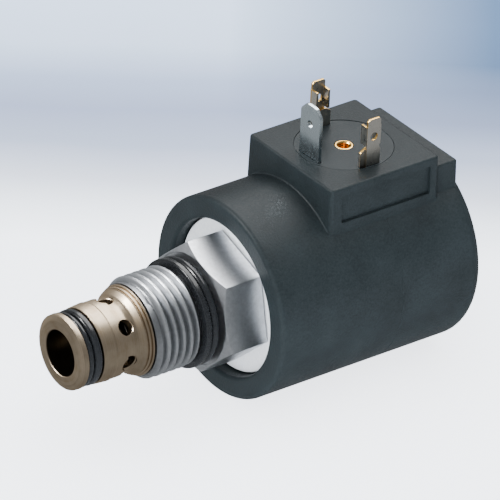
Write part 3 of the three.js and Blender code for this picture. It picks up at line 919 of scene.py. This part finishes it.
# ---------------------------------------------------------------- cartridge
class VALVE_OT_cage(bpy.types.Operator):
    """Turn the bronze-toned cage and drill its side ports"""

    bl_idname = "valve.cage"
    bl_label = "Cage"

    def execute(self, context):
        sizes = context.scene.valve_cartridge
        face, rear = span("cage")[0].x, span("cage")[1].x
        collar = span("valve_body")[0].x - 0.3  # where the cage's flange meets the threaded body
        outline = rounded([
            (face, 4.95, 0.05), (face, 6.55, 0.15), (face + 0.5, 7.78, 0.22), (face + 1.6, 7.85, 0.12),
            (face + 1.6, 6.2, 0.1), (face + 5.15, 6.2, 0.1), (face + 5.15, 7.9, 0.14),
            (-23.5, 8.13, 0.1), (-23.15, 8.0, 0.1), (-20.7, 8.0, 0.08), (-20.55, 7.45, 0.12),
            (-19.0, 7.4, 1.5), (-17.8, 7.75, 1.4), (-16.75, 8.75, 0.35), (-16.55, 8.85, 0.05),
            (-16.5, 8.7, 0.03), (-16.3, 8.7, 0.03), (-16.25, 9.0, 0.05), (-15.85, 9.05, 0.05),
            (-15.8, 8.92, 0.03), (-15.62, 8.92, 0.03), (-15.58, 9.3, 0.05), (collar, 9.4, 0.1),
            (collar, 7.0, 0.1), (rear, 7.0, 0.25), (rear, 5.6, 0.15), (-23.5, 5.6, 0.1),
            (-23.5, 4.8, 0.08), (face + 0.15, 4.8, 0.05),
        ], 5)
        made = turned("cage_turned", divided(outline, 0.8), 168)
        radius = sizes.port_radius / MM
        for i in range(sizes.port_count):
            drill = turned("drill", rounded([
                (4.0, 0.0), (4.0, radius), (7.22, radius), (7.42, radius + 0.16), (10.0, radius + 0.2),
                (10.0, 0.0),
            ], closed=False), 56)
            placed(drill, Matrix.Rotation(-math.pi / 2, 4, "Y"))
            angle = sizes.port_turn + i * 2 * math.pi / sizes.port_count
            place = Matrix.Translation((sizes.port_place, 0, 0))
            carve(made, placed(drill, Matrix.Rotation(angle, 4, "X") @ place))
        settle(shade(made, 24), "bronze_steel", "cage")
        return {"FINISHED"}


def hex_reach(angle, flats, corner):
    """How far out a rounded hexagon reaches at an angle from one of its corners."""
    sixth = math.pi / 3
    off = abs((angle + sixth / 2) % sixth - sixth / 2)
    from_flat = sixth / 2 - off
    across = flats / 2
    if across * math.tan(from_flat) <= (across - corner) * math.tan(sixth / 2):
        return across / math.cos(from_flat)
    centre = (across - corner) / math.cos(sixth / 2)
    return centre * math.cos(off) + math.sqrt(corner ** 2 - (centre * math.sin(off)) ** 2)


def hex_angles(flats, corner, start, along=30, round_steps=6):
    """Angles round a hexagon, close together at its rounded corners."""
    across = flats / 2
    zone = math.pi / 6 - math.atan((across - corner) * math.tan(math.pi / 6) / across)
    flat = math.pi / 3 - 2 * zone
    steps = [-zone + 2 * zone * k / round_steps for k in range(round_steps)]
    steps += [zone + flat * k / along for k in range(along)]
    return [start + math.pi / 3 * side + step for side in range(6) for step in steps]


def hex_turned(name, rows, angles, reach):
    """A turned piece some of whose rings follow a hexagon: each row gives (x, radius) for a reach."""
    corners = []
    for row in rows:
        for angle in angles:
            x, radius = row(reach(angle))
            corners.append((x, -radius * math.sin(angle), radius * math.cos(angle)))
    return new_piece(name, corners, ring_faces(len(rows), len(angles), True))


def ring_row(point):
    """A row that stays round, whatever the hexagon does."""
    return lambda reach: point


def chamfered_hex(front, rear, flats):
    """Rows of a hex head: a chamfer cone at the front, the flats, and a broken rear edge."""
    edge = 0.13
    lean = math.tan(math.pi / 6)
    inner = flats / 2
    return [
        lambda reach: (front + max(0.0, reach - edge - inner) * lean, reach - edge),
        lambda reach: (front + max(0.0, reach - edge * 0.4 - inner) * lean + edge * 0.12, reach - edge * 0.3),
        lambda reach: (front + max(0.0, reach - inner) * lean + edge, reach),
        lambda reach: (front + max(0.0, reach - inner) * lean + edge + 0.12, reach),
        lambda reach: (front + 3.0, reach),
        lambda reach: (rear - 2.5, reach),
        lambda reach: (rear - 0.32, reach),
        lambda reach: (rear - 0.18, reach),
        lambda reach: (rear, reach - 0.2),
    ]


class VALVE_OT_threaded_body(bpy.types.Operator):
    """Turn the threaded body, cut its thread and mill its hex"""

    bl_idname = "valve.threaded_body"
    bl_label = "Threaded body"

    def execute(self, context):
        sizes = context.scene.valve_cartridge
        front, rear = span("valve_body")[0].x, span("valve_body")[1].x
        crest = sizes.thread_radius / MM
        flats, corner = sizes.hex_flats / MM, sizes.hex_corner / MM
        undercut = 9.3
        run_out = -4.3
        recess = 0.2
        outer = rounded([
            (front, 7.3, 0.1), (front, 9.55, 0.1), (front + 1.3, crest, 0.3), (run_out - 0.95, crest, 0.1),
            (run_out, undercut, 0.25), (recess, undercut, 0.3), (recess, 11.58, 0.03), (0.0, 11.62, 0.03),
            (0.0, flats / 2 - 0.15),
        ], 4, closed=False)
        bores = rounded([
            (rear, 8.0, 0.0), (rear - 0.2, 7.8, 0.05), (6.2, 7.8, 0.1), (6.2, 9.1, 0.2), (4.0, 9.1, 0.2),
            (4.0, 7.8, 0.1), (1.0, 7.8, 0.1), (1.0, 2.6, 0.1), (-7.0, 2.6, 0.1), (-7.0, 7.3, 0.1),
        ], 3, closed=False)
        thread_step = 0.1
        outer = divided(outer, thread_step, front + 1.2, run_out + 0.1)
        rows = [ring_row(point) for point in outer]
        rows += chamfered_hex(0.0, rear, flats)
        rows += [ring_row(point) for point in bores]
        angles = hex_angles(flats, corner, sizes.hex_turn)
        made = hex_turned(
            "valve_body_machined", rows, angles, lambda a: hex_reach(a - sizes.hex_turn, flats, corner)
        )
        press_thread(
            made, "plated_steel", sizes.thread_pitch / MM, sizes.thread_depth / MM, crest,
            front + 0.5, run_out + 0.05, sizes.first_crest / MM, sizes.thread_turn,
        )
        settle(shade(made, 27), "plated_steel", "valve_body")
        return {"FINISHED"}


class VALVE_OT_seals(bpy.types.Operator):
    """Lay in the O-rings and their backup rings"""

    bl_idname = "valve.seals"
    bl_label = "Seals"

    def execute(self, context):
        for place in ("nose", "head", "tube", "coil_front", "coil_rear"):
            node_name = f"{place}_o_ring"
            low, high = span(node_name)
            section = (high.x - low.x) / 2
            outline = seal((low.x + high.x) / 2, high.z - section, section)
            settle(shade(turned(f"{node_name}_moulded", outline, 144), 60), "rubber", node_name)
        for node_name, inner, edge in (("nose_backup_ring", 6.45, 0.8), ("head_backup_ring", 9.45, 0.35)):
            low, high = span(node_name)
            outline = rounded([
                (low.x, inner, 0.15), (low.x, high.z, edge), (high.x, high.z, edge), (high.x, inner, 0.15),
            ], 7)
            settle(shade(turned(f"{node_name}_moulded", outline, 144), 40), "backup_plastic", node_name)
        return {"FINISHED"}


class VALVE_OT_inner_parts(bpy.types.Operator):
    """Turn the poppet, the pin, the armature, the tube, the shim and the pole piece"""

    bl_idname = "valve.inner_parts"
    bl_label = "Inner parts"

    def execute(self, context):
        front, rear = span("main_poppet")[0].x, span("main_poppet")[1].x
        guide = span("main_poppet")[1].z
        groove = guide - 0.3
        self.make("main_poppet", "ground_steel", [
            (front, 0.6, 0.05), (front, 3.9, 0.15), (front + 1.1, 4.6, 0.05), (front + 1.5, 5.0, 0.1),
            (front + 2.0, 5.0, 0.1), (front + 2.6, 4.2, 0.2), (-18.0, 4.2, 0.2), (-17.5, guide, 0.1),
            (-15.6, guide, 0.05), (-15.6, groove, 0.05), (-15.2, groove, 0.05), (-15.2, guide, 0.05),
            (-13.2, guide, 0.05), (-13.2, groove, 0.05), (-12.8, groove, 0.05), (-12.8, guide, 0.05),
            (rear, guide, 0.25), (rear, 3.8, 0.1), (-14.6, 3.8, 0.1), (-14.6, 0.6, 0.05),
        ])
        tip, end = span("pilot_pin")[0].x, span("pilot_pin")[1].x
        self.make("pilot_pin", "ground_steel", [
            (tip, 0.0), (tip, 0.5, 0.1), (tip + 1.0, 1.5, 0.2), (end, 1.5, 0.1), (end, 0.0),
        ], 64, closed=False)
        front, rear, radius = span("armature")[0].x, span("armature")[1].x, 6.2
        core = turned("armature_turned", rounded([
            (front, 1.8, 0.1), (front, radius, 0.5), (rear, radius, 0.5), (rear, 3.2, 0.15), (19.0, 3.2, 0.2),
            (19.0, 1.2, 0.05), (8.3, 1.2, 0.05), (8.3, 1.8, 0.05),
        ], 4), 128)
        for side in (1, -1):
            near, far = sorted((side * 5.3, side * 7.9))
            carve(core, box("slot", (front - 1, near, -0.7), (rear + 1, far, 0.7)))
        settle(shade(core), "soft_iron", "armature")
        front, rear = span("armature_tube")[0].x, span("armature_tube")[1].x
        self.make("armature_tube", "stainless_tube", [
            (front, 6.5, 0.1), (front, 7.5, 0.15), (rear, 7.5, 0.15), (rear, 6.5, 0.1),
        ])
        front, rear = span("gap_shim")[0].x, span("gap_shim")[1].x
        self.make("gap_shim", "shim_brass", [
            (front, 3.6, 0.05), (front, 6.1, 0.05), (rear, 6.1, 0.05), (rear, 3.6, 0.05),
        ])
        self.pole_piece(context.scene.valve_cartridge)
        return {"FINISHED"}

    def make(self, node_name, slot, outline, sides=128, closed=True):
        made = turned(f"{node_name}_turned", rounded(outline, 4, closed), sides)
        return settle(shade(made), slot, node_name)

    def pole_piece(self, sizes):
        face, end = 29.2, span("pole_piece")[1].x
        shoulder = span("rear_flux_plate")[1].x + 0.1
        stud = 4.9
        outline = rounded([
            (face + 3.8, 0.0), (face + 3.8, 3.2, 0.1), (face, 3.2, 0.15), (face, 6.2, 0.2), (48.0, 6.2, 0.1),
            (48.0, 7.5, 0.1), (shoulder, 7.5, 0.15), (shoulder, stud, 0.1), (end, stud, 0.5),
            (end, 1.3, 0.15), (end - 0.9, 0.0),
        ], 4, closed=False)
        made = turned("pole_piece_turned", divided(outline, 0.08, shoulder + 0.05, end), 96)
        press_thread(made, "soft_iron", sizes.stud_pitch / MM, 0.6, stud, shoulder + 0.8, end + 1)
        settle(shade(made, 32), "soft_iron", "pole_piece")


class VALVE_OT_springs(bpy.types.Operator):
    """Wind the two return springs"""

    bl_idname = "valve.springs"
    bl_label = "Springs"

    def execute(self, context):
        sizes = context.scene.valve_cartridge
        for node_name, wire, turns, joint in (
            ("poppet_spring", sizes.poppet_wire / MM, 6.5, "poppet_slide"),
            ("armature_spring", sizes.armature_wire / MM, 10.5, "armature_slide"),
        ):
            low, high = span(node_name)
            made = new_piece(f"{node_name}_wound", [], [])
            run_tree(
                made, spring_tree(), Front=low.x * MM, Length=(high.x - low.x) * MM,
                Radius=(high.z - wire / 2) * MM * 0.985, Wire=wire * MM, Turns=turns,
                Material=finish("spring_steel"),
            )
            weld(made)
            made.data.shade_smooth()
            settle(made, "spring_steel", node_name)
            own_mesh(made)
        return {"FINISHED"}


class VALVE_OT_coil_nut(bpy.types.Operator):
    """Make the hex nut that holds the coil"""

    bl_idname = "valve.coil_nut"
    bl_label = "Coil nut"

    def execute(self, context):
        flats, corner = context.scene.valve_cartridge.nut_flats / MM, 0.2
        front, rear = span("coil_nut")[0].x, span("coil_nut")[1].x
        bore = 5.3
        lean = math.tan(math.pi / 6)
        inner = flats / 2
        bores = rounded([
            (rear, inner - 0.1), (rear, bore + 0.35, 0.0), (rear - 0.35, bore, 0.05),
            (front + 0.35, bore, 0.05), (front, bore + 0.35, 0.0), (front, inner - 0.1),
        ], 2, closed=False)
        edge, support = 0.12, 0.26  # the broken edge, and a row that keeps the flats' shading even
        rows = [
            lambda reach: (front + max(0.0, reach - edge - inner) * lean, reach - edge),
            lambda reach: (front + max(0.0, reach - inner) * lean + edge, reach),
            lambda reach: (front + max(0.0, reach - inner) * lean + support, reach),
            lambda reach: (rear - max(0.0, reach - inner) * lean - support, reach),
            lambda reach: (rear - max(0.0, reach - inner) * lean - edge, reach),
            lambda reach: (rear - max(0.0, reach - edge - inner) * lean, reach - edge),
        ]
        rows += [ring_row(point) for point in bores]
        made = hex_turned(
            "coil_nut_machined", rows, hex_angles(flats, corner, 0.0, 24, 4),
            lambda a: hex_reach(a, flats, corner),
        )
        settle(shade(made, 27), "nut_steel", "coil_nut")
        return {"FINISHED"}


# ---------------------------------------------------------------- coil
def block_outline(x0, x1, half, corner, longest=0.9):
    """The block's plan: a rectangle with rounded corners, in short steps."""
    outline = rounded([(x0, -half, corner), (x1, -half, corner), (x1, half, corner), (x0, half, corner)], 8)
    return divided(outline, longest)


def shell_height(point, reach_at, depth=0.0):
    """Height of the shell above a point (x, y), or of a surface that lies a depth below it."""
    return math.sqrt(max(1.0, (reach_at(point.real) - depth) ** 2 - point.imag ** 2))


def raised_block(name, plan, top, reach_at, sizes, edge):
    """A block standing on the shell: filleted to it at the root, drafted, and rounded round its top."""
    root, draft = sizes.block_root / MM, sizes.draft
    count = len(plan)
    centre = complex(sum(x for x, y in plan) / count, sum(y for x, y in plan) / count)
    columns = []
    for i, (x, y) in enumerate(plan):
        here = complex(x, y)
        along = complex(*plan[(i + 1) % count]) - complex(*plan[i - 1])
        out = along / abs(along) * -1j
        if ((here - centre) * out.conjugate()).real < 0:
            out = -out
        away = draft * (top - shell_height(here, reach_at))
        foot = shell_height(here + out * away, reach_at)
        slope = (shell_height(here + out * (away + 0.3), reach_at) - foot) / 0.3
        between = math.pi / 2 + math.atan(-slope)
        reach = root / math.tan(between / 2)
        lift = min(reach, 0.6 * (top - foot))
        run = lift * math.cos(math.atan(slope))
        arcs = [math.pi / 2 * k / 7 for k in range(8)]
        column = [(-edge * (1 - math.sin(a)), top - edge * (1 - math.cos(a))) for a in arcs]
        heights = [top - edge - (top - edge - foot - lift) * k / 4 for k in range(1, 5)]
        column += [(draft * (top - z), z) for z in heights]
        place = here + out * (away + run)
        toe = shell_height(place, reach_at) - 0.06
        for k in range(1, 9):
            t = k / 8
            height = (1 - t) ** 2 * (foot + lift) + 2 * t * (1 - t) * foot + t * t * toe
            column.append((away + run * t * t, height))
        column.append((away + run, shell_height(place, reach_at, 1.0)))
        columns.append([((here + out * step).real, (here + out * step).imag, z) for step, z in column])
    rows = len(columns[0])
    corners = [columns[j][i] for i in range(rows) for j in range(count)]
    faces = ring_faces(rows, count, False)
    for share in (0.66, 0.33):  # the underside follows the shell, inside its wall
        for x, y, z in corners[(rows - 1) * count:rows * count]:
            point = complex(centre.real + (x - centre.real) * share, y * share)
            corners.append((point.real, point.imag, shell_height(point, reach_at, 1.0)))
    faces += [tuple(f + (rows - 1) * count for f in face) for face in ring_faces(3, count, False)]
    last = len(corners) - count
    faces.append(tuple(range(last, last + count)))
    faces.append(tuple(reversed(range(count))))
    return new_piece(name, corners, faces)


class VALVE_OT_housing(bpy.types.Operator):
    """Mould the coil's shell with its connector block"""

    bl_idname = "valve.housing"
    bl_label = "Coil housing"

    def execute(self, context):
        sizes = context.scene.valve_coil
        front, rear = span("coil_housing")[0].x, span("coil_housing")[1].x
        reach = -span("coil_housing")[0].z
        top = span("terminal_carrier")[1].z
        recess, yoke = 16.4, 18.8
        front_edge, rear_edge, lip = sizes.front_edge / MM, sizes.rear_edge / MM, sizes.lip_edge / MM
        line = sizes.parting_place / MM
        shell = turned("coil_housing_moulded", divided(rounded([
            (front, recess + 0.05, lip), (front, reach, front_edge),
            (line - 0.12, reach), (line - 0.03, reach - 0.05), (line + 0.03, reach - 0.05),
            (line + 0.12, reach), (rear, reach, rear_edge), (rear, 13.0, 0.5), (55.5, 13.0, 0.1),
            (55.5, recess, 0.1), (54.3, recess, 0.1), (54.3, yoke, 0.1), (10.6, yoke, 0.1), (10.6, recess, 0.1),
        ], 9), 1.1), 200)

        def reach_at(x):
            start = rear - rear_edge
            if x <= start:
                return reach
            return reach - rear_edge + math.sqrt(max(0.04, rear_edge ** 2 - (x - start) ** 2))

        corner, edge = sizes.block_corner / MM, sizes.block_edge / MM
        plan = block_outline(23.45, 50.21, BLOCK_HALF, corner)
        block = raised_block("block", plan, top, reach_at, sizes, edge)
        step_plan = block_outline(46.0, 55.76, 12.73, corner * 0.8)
        step = raised_block("step", step_plan, 22.87, reach_at, sizes, edge)
        carve(block, step, "UNION")
        carve(shell, block, "UNION")
        centre = carrier_middle()
        pocket_floor, pocket = span("terminal_carrier")[0].z - 0.3, 10.0
        outline = rounded([
            (pocket_floor, 0.0), (pocket_floor, pocket, 0.2), (top - 0.06, pocket),
            (top + 0.02, pocket + 0.08), (top + 1.0, pocket + 0.08), (top + 1.0, 0.0),
        ], 3, closed=False)
        drill = turned("pocket", outline, 144)
        carve(shell, placed(drill, stand_up(centre, 0, 0)))
        self.label(shell, sizes)
        settle(shade(shell, 19), "coil_plastic", "coil_housing")
        return {"FINISHED"}

    def label(self, shell, sizes):
        """Sinks the label panel into the side wall."""
        x0, x1, z0, z1 = 26.1, 48.1, 18.0, 24.1
        depth = sizes.label_depth / MM
        outline = rounded([(x0, z0, 0.35), (x1, z0, 0.35), (x1, z1, 0.35), (x0, z1, 0.35)], 4)
        panel = prism("panel", outline, 0.0, 3.0)
        floor = -BLOCK_HALF + depth
        placed(panel, Matrix.Translation((0, floor * MM, 0)) @ Matrix.Rotation(math.pi / 2, 4, "X"))
        carve(shell, panel)


class VALVE_OT_magnet_frame(bpy.types.Operator):
    """Make the end plates, the yoke sleeve and the bobbin"""

    bl_idname = "valve.magnet_frame"
    bl_label = "Magnet frame"

    def execute(self, context):
        bore, counterbore = 7.8, 9.75
        for node_name, away in (("front_flux_plate", -1), ("rear_flux_plate", 1)):
            low, high = span(node_name)
            face, inner = (low.x, high.x) if away < 0 else (high.x, low.x)
            seat = face - away * 2.1
            outline = rounded([
                (face, counterbore, 0.2), (face, high.z, 0.25), (inner, high.z, 0.2), (inner, bore, 0.15),
                (seat, bore, 0.1), (seat, counterbore, 0.15),
            ], 4)
            settle(shade(turned(f"{node_name}_turned", outline, 160)), "plate_steel", node_name)
        low, high = span("yoke_sleeve")
        yoke = turned("yoke_sleeve_rolled", rounded([
            (low.x, 16.4, 0.15), (low.x, high.y, 0.15), (high.x, high.y, 0.15), (high.x, 16.4, 0.15),
        ], 3), 128)
        middle = carrier_middle()
        carve(yoke, box("window", (middle - 4, -7, 10), (middle + 4, 7, 20), 0.5))
        settle(shade(yoke), "yoke_steel", "yoke_sleeve")
        low, high = span("bobbin")
        outline = rounded([
            (low.x, bore, 0.1), (low.x, high.z, 0.2), (low.x + 2, high.z, 0.2), (low.x + 2, 9.2, 0.3),
            (high.x - 2, 9.2, 0.3), (high.x - 2, high.z, 0.2), (high.x, high.z, 0.2), (high.x, bore, 0.1),
        ], 3)
        settle(shade(turned("bobbin_moulded", outline, 128)), "bobbin_plastic", "bobbin")
        return {"FINISHED"}


class VALVE_OT_winding(bpy.types.Operator):
    """Lay the winding's turns and its two leads"""

    bl_idname = "valve.winding"
    bl_label = "Winding"

    def execute(self, context):
        wire = context.scene.valve_coil.winding_wire / MM
        low, high = span("winding")
        outline = rounded([
            (low.x, 9.5, 0.2), (low.x, high.z, 0.2), (high.x, high.z, 0.2), (high.x, 9.5, 0.2),
        ], 2)
        made = turned("winding_turns", divided(outline, 0.1, low.x + 0.15, high.x - 0.15), 96)
        first = low.x + wire / 2
        press_thread(made, "winding_copper", wire, 0.35, high.z, low.x, high.x, first, fullness=1.0)
        settle(shade(made, 50), "winding_copper", "winding")
        for i in (1, 2):
            node_name = f"winding_lead_{i}"
            low, high = span(node_name)
            x, y = (low.x + high.x) / 2, (low.y + high.y) / 2
            lead = post(f"{node_name}_wire", x, y, low.z, high.z, 0.4, 24, 0.1)
            settle(shade(lead, 40), "winding_copper", node_name)
        return {"FINISHED"}


# ---------------------------------------------------------------- connector
class VALVE_OT_carrier(bpy.types.Operator):
    """Mould the round terminal carrier and press in its threaded insert"""

    bl_idname = "valve.carrier"
    bl_label = "Terminal carrier"

    def execute(self, context):
        sizes = context.scene.valve_connector
        low, high = span("terminal_carrier")
        centre = carrier_middle()
        gap = 0.08
        disc = post("terminal_carrier_moulded", centre, 0, low.z, high.z, 9.96, 144, 0.08)
        carve(disc, box("step", (centre - 12, 3.6, high.z - 0.12), (centre + 12, 12, high.z + 1)))
        carve(disc, post("hole", centre, 0, high.z - 5, high.z + 1, 1.95, 64))
        for node_name in ("earth_tab", "spade_terminal_1", "spade_terminal_2"):
            tab_low, tab_high = span(node_name)
            if node_name != "earth_tab":
                out = math.copysign(1.0, tab_low.y)
                tab_low.y, tab_high.y = sorted((out * TERMINAL_FACE, out * (TERMINAL_FACE - 1.1)))
            slot_low = (tab_low.x - gap, tab_low.y - gap, tab_low.z - 0.3)
            slot_high = (tab_high.x + gap, tab_high.y + gap, 30)
            carve(disc, box("slot", slot_low, slot_high))
        settle(shade(disc), "carrier_plastic", "terminal_carrier")
        self.insert(sizes, centre)
        return {"FINISHED"}

    def insert(self, sizes, centre):
        low, high = span("thread_insert")
        tall, bore, outer = high.z - low.z, sizes.insert_bore / MM, 1.9
        outline = rounded([
            (0.0, 0.0), (0.0, outer, 0.1), (tall, outer, 0.15), (tall, bore + 0.3, 0.05),
            (tall - 0.28, bore, 0.02), (0.9, bore, 0.1), (0.9, 0.0),
        ], 4, closed=False)
        made = turned("thread_insert_turned", divided(outline, 0.05, 0.95, tall - 0.3), 72)
        press_thread(made, "insert_brass", sizes.insert_pitch / MM, 0.3, bore, 1.1, tall - 0.2, side=-1.0)
        placed(made, stand_up(centre, 0, low.z))
        settle(shade(made, 34), "insert_brass", "thread_insert")


def sheet_plate(name, outline, thick, edge, holes=()):
    """A stamped plate from a (width, height) outline, standing in the XZ plane from y = 0 to y = thick.

    Swapping depth and height turns its faces inward, so it is welded again once it is finished."""
    made = prism(name, outline, 0.0, thick, edge, 2)
    for x, z, radius in holes:
        angles = [2 * math.pi * j / 40 for j in range(40)]
        ring = [(x + radius * math.cos(a), z + radius * math.sin(a)) for a in angles]
        carve(made, prism("punch", ring, -1.0, thick + 1.0))
    return placed(made, Matrix(((1, 0, 0, 0), (0, 0, 1, 0), (0, 1, 0, 0), (0, 0, 0, 1))))


class VALVE_OT_tabs(bpy.types.Operator):
    """Stamp the earth tab and the two folded terminals"""

    bl_idname = "valve.tabs"
    bl_label = "Tabs"

    def execute(self, context):
        sizes = context.scene.valve_connector
        self.earth_tab(sizes)
        self.spade("spade_terminal_1", sizes)
        self.spade("spade_terminal_2", sizes)
        return {"FINISHED"}

    def earth_tab(self, sizes):
        low, high = span("earth_tab")
        half, corner, thick = high.y, 1.7, high.x - low.x
        top = span("terminal_carrier")[1].z
        outline = rounded([
            (-half, low.z), (half, low.z), (half, high.z - corner, 1.1), (half - corner, high.z, 1.1),
            (-half + corner, high.z, 1.1), (-half, high.z - corner, 1.1),
        ], 4)
        hole = (0.0, top + 7.4, sizes.earth_hole / MM)
        made = sheet_plate("earth_tab_stamped", outline, thick, 0.1, [hole])
        weld(made)
        placed(made, Matrix.Translation((high.x * MM, 0, 0)) @ Matrix.Rotation(math.pi / 2, 4, "Z"))
        settle(shade(made, 35), "tinned_tab", "earth_tab")

    def spade(self, node_name, sizes):
        low, high = span(node_name)
        top = span("terminal_carrier")[1].z
        out = math.copysign(1.0, low.y)
        strip, hole = sizes.strip / MM, sizes.blade_hole / MM
        root = low.z
        half, tip, leg = 1.7, 1.6, 2.85
        # Made for the terminal on the -Y side: its outer face at y = 0, its depth towards +Y.
        blade = sheet_plate("blade", rounded([
            (-half, root), (half, root), (half, top + 3.35, 0.2), (half - 0.3, top + 3.75, 0.2),
            (half - 0.3, top + 4.2, 0.15), (half, top + 4.45, 0.15), (half, top + 8.7, 0.1),
            (tip, top + 8.85, 0.1), (tip, top + 9.95, 0.12), (tip - 0.4, high.z, 0.12),
            (-tip + 0.4, high.z, 0.12), (-tip, top + 9.95, 0.12), (-tip, top + 8.85, 0.1),
            (-half, top + 8.7, 0.1),
        ], 3), strip, 0.06)
        fold = 0.45
        channel = rounded([
            (-half, 0.0, fold), (half, 0.0, fold), (half, 2.1, 0.06), (half - strip, 2.1, 0.06),
            (half - strip, strip, 0.08), (-half + strip, strip, 0.08), (-half + strip, 2.1, 0.06),
            (-half, 2.1, 0.06),
        ], 5)
        wings = prism("wings", channel, top + 4.45, top + 8.65, 0.05, 2)
        back = sheet_plate("back", rounded([
            (-leg, root), (half, root), (half, top + 3.2, 0.3), (0.6, top + 3.7, 0.3), (-1.5, top + 3.9, 0.4),
            (-leg, top + 3.1, 0.4),
        ], 3), 0.62, 0.06)
        placed(back, Matrix.Translation((0, (strip - 0.03) * MM, 0)))
        carve(blade, wings, "UNION", "EXACT")
        carve(blade, back, "UNION", "EXACT")
        punch = post("punch", 0, 0, -1.0, 4.0, hole, 40)
        placed(punch, Matrix.Translation((0, 0, (top + 6.4) * MM)) @ Matrix.Rotation(-math.pi / 2, 4, "X"))
        carve(blade, punch, "DIFFERENCE", "EXACT")
        centre = carrier_middle()
        face = out * TERMINAL_FACE
        spin = Matrix.Rotation(math.pi if out > 0 else 0.0, 4, "Z")
        placed(blade, Matrix.Translation((centre * MM, face * MM, 0)) @ spin)
        blade.name = f"{node_name}_stamped"
        weld(blade)
        settle(shade(blade, 35), "terminal_brass", node_name)
        blade.data.materials.append(finish("terminal_edge"))
        for face_part in blade.data.polygons:
            if abs(face_part.normal.y) < 0.55 and face_part.area < 2.2e-6:
                face_part.material_index = 1


# ---------------------------------------------------------------- add-on
STEPS = (
    VALVE_OT_studio,
    VALVE_OT_housing,
    VALVE_OT_magnet_frame,
    VALVE_OT_winding,
    VALVE_OT_carrier,
    VALVE_OT_tabs,
    VALVE_OT_cage,
    VALVE_OT_threaded_body,
    VALVE_OT_seals,
    VALVE_OT_inner_parts,
    VALVE_OT_springs,
    VALVE_OT_coil_nut,
)
GROUPS = {
    "valve_cartridge": CartridgeSizes,
    "valve_coil": CoilSizes,
    "valve_connector": ConnectorSizes,
    "valve_colours": FinishColours,
    "valve_studio": StudioSettings,
}


class VALVE_PT_build(bpy.types.Panel):
    """Building steps and sizes of the valve"""

    bl_label = "Cartridge valve"
    bl_space_type = "VIEW_3D"
    bl_region_type = "UI"
    bl_category = "Valve"

    def draw(self, context):
        for step in STEPS:
            self.layout.operator(step.bl_idname)
        for name, group in GROUPS.items():
            column = self.layout.column(align=True)
            column.label(text=group.__doc__)
            for label in group.__annotations__:
                column.prop(getattr(context.scene, name), label)


def register():
    for group in GROUPS.values():
        bpy.utils.register_class(group)
    for name, group in GROUPS.items():
        setattr(bpy.types.Scene, name, PointerProperty(type=group))
    for step in STEPS:
        bpy.utils.register_class(step)
    bpy.utils.register_class(VALVE_PT_build)


def unregister():
    bpy.utils.unregister_class(VALVE_PT_build)
    for step in reversed(STEPS):
        bpy.utils.unregister_class(step)
    for name, group in GROUPS.items():
        delattr(bpy.types.Scene, name)
        bpy.utils.unregister_class(group)


def main():
    register()
    bpy.ops.valve.studio()
    bpy.ops.valve.housing()
    bpy.ops.valve.magnet_frame()
    bpy.ops.valve.winding()
    bpy.ops.valve.carrier()
    bpy.ops.valve.tabs()
    bpy.ops.valve.cage()
    bpy.ops.valve.threaded_body()
    bpy.ops.valve.seals()
    bpy.ops.valve.inner_parts()
    bpy.ops.valve.springs()
    bpy.ops.valve.coil_nut()


if __name__ == "__main__":
    main()
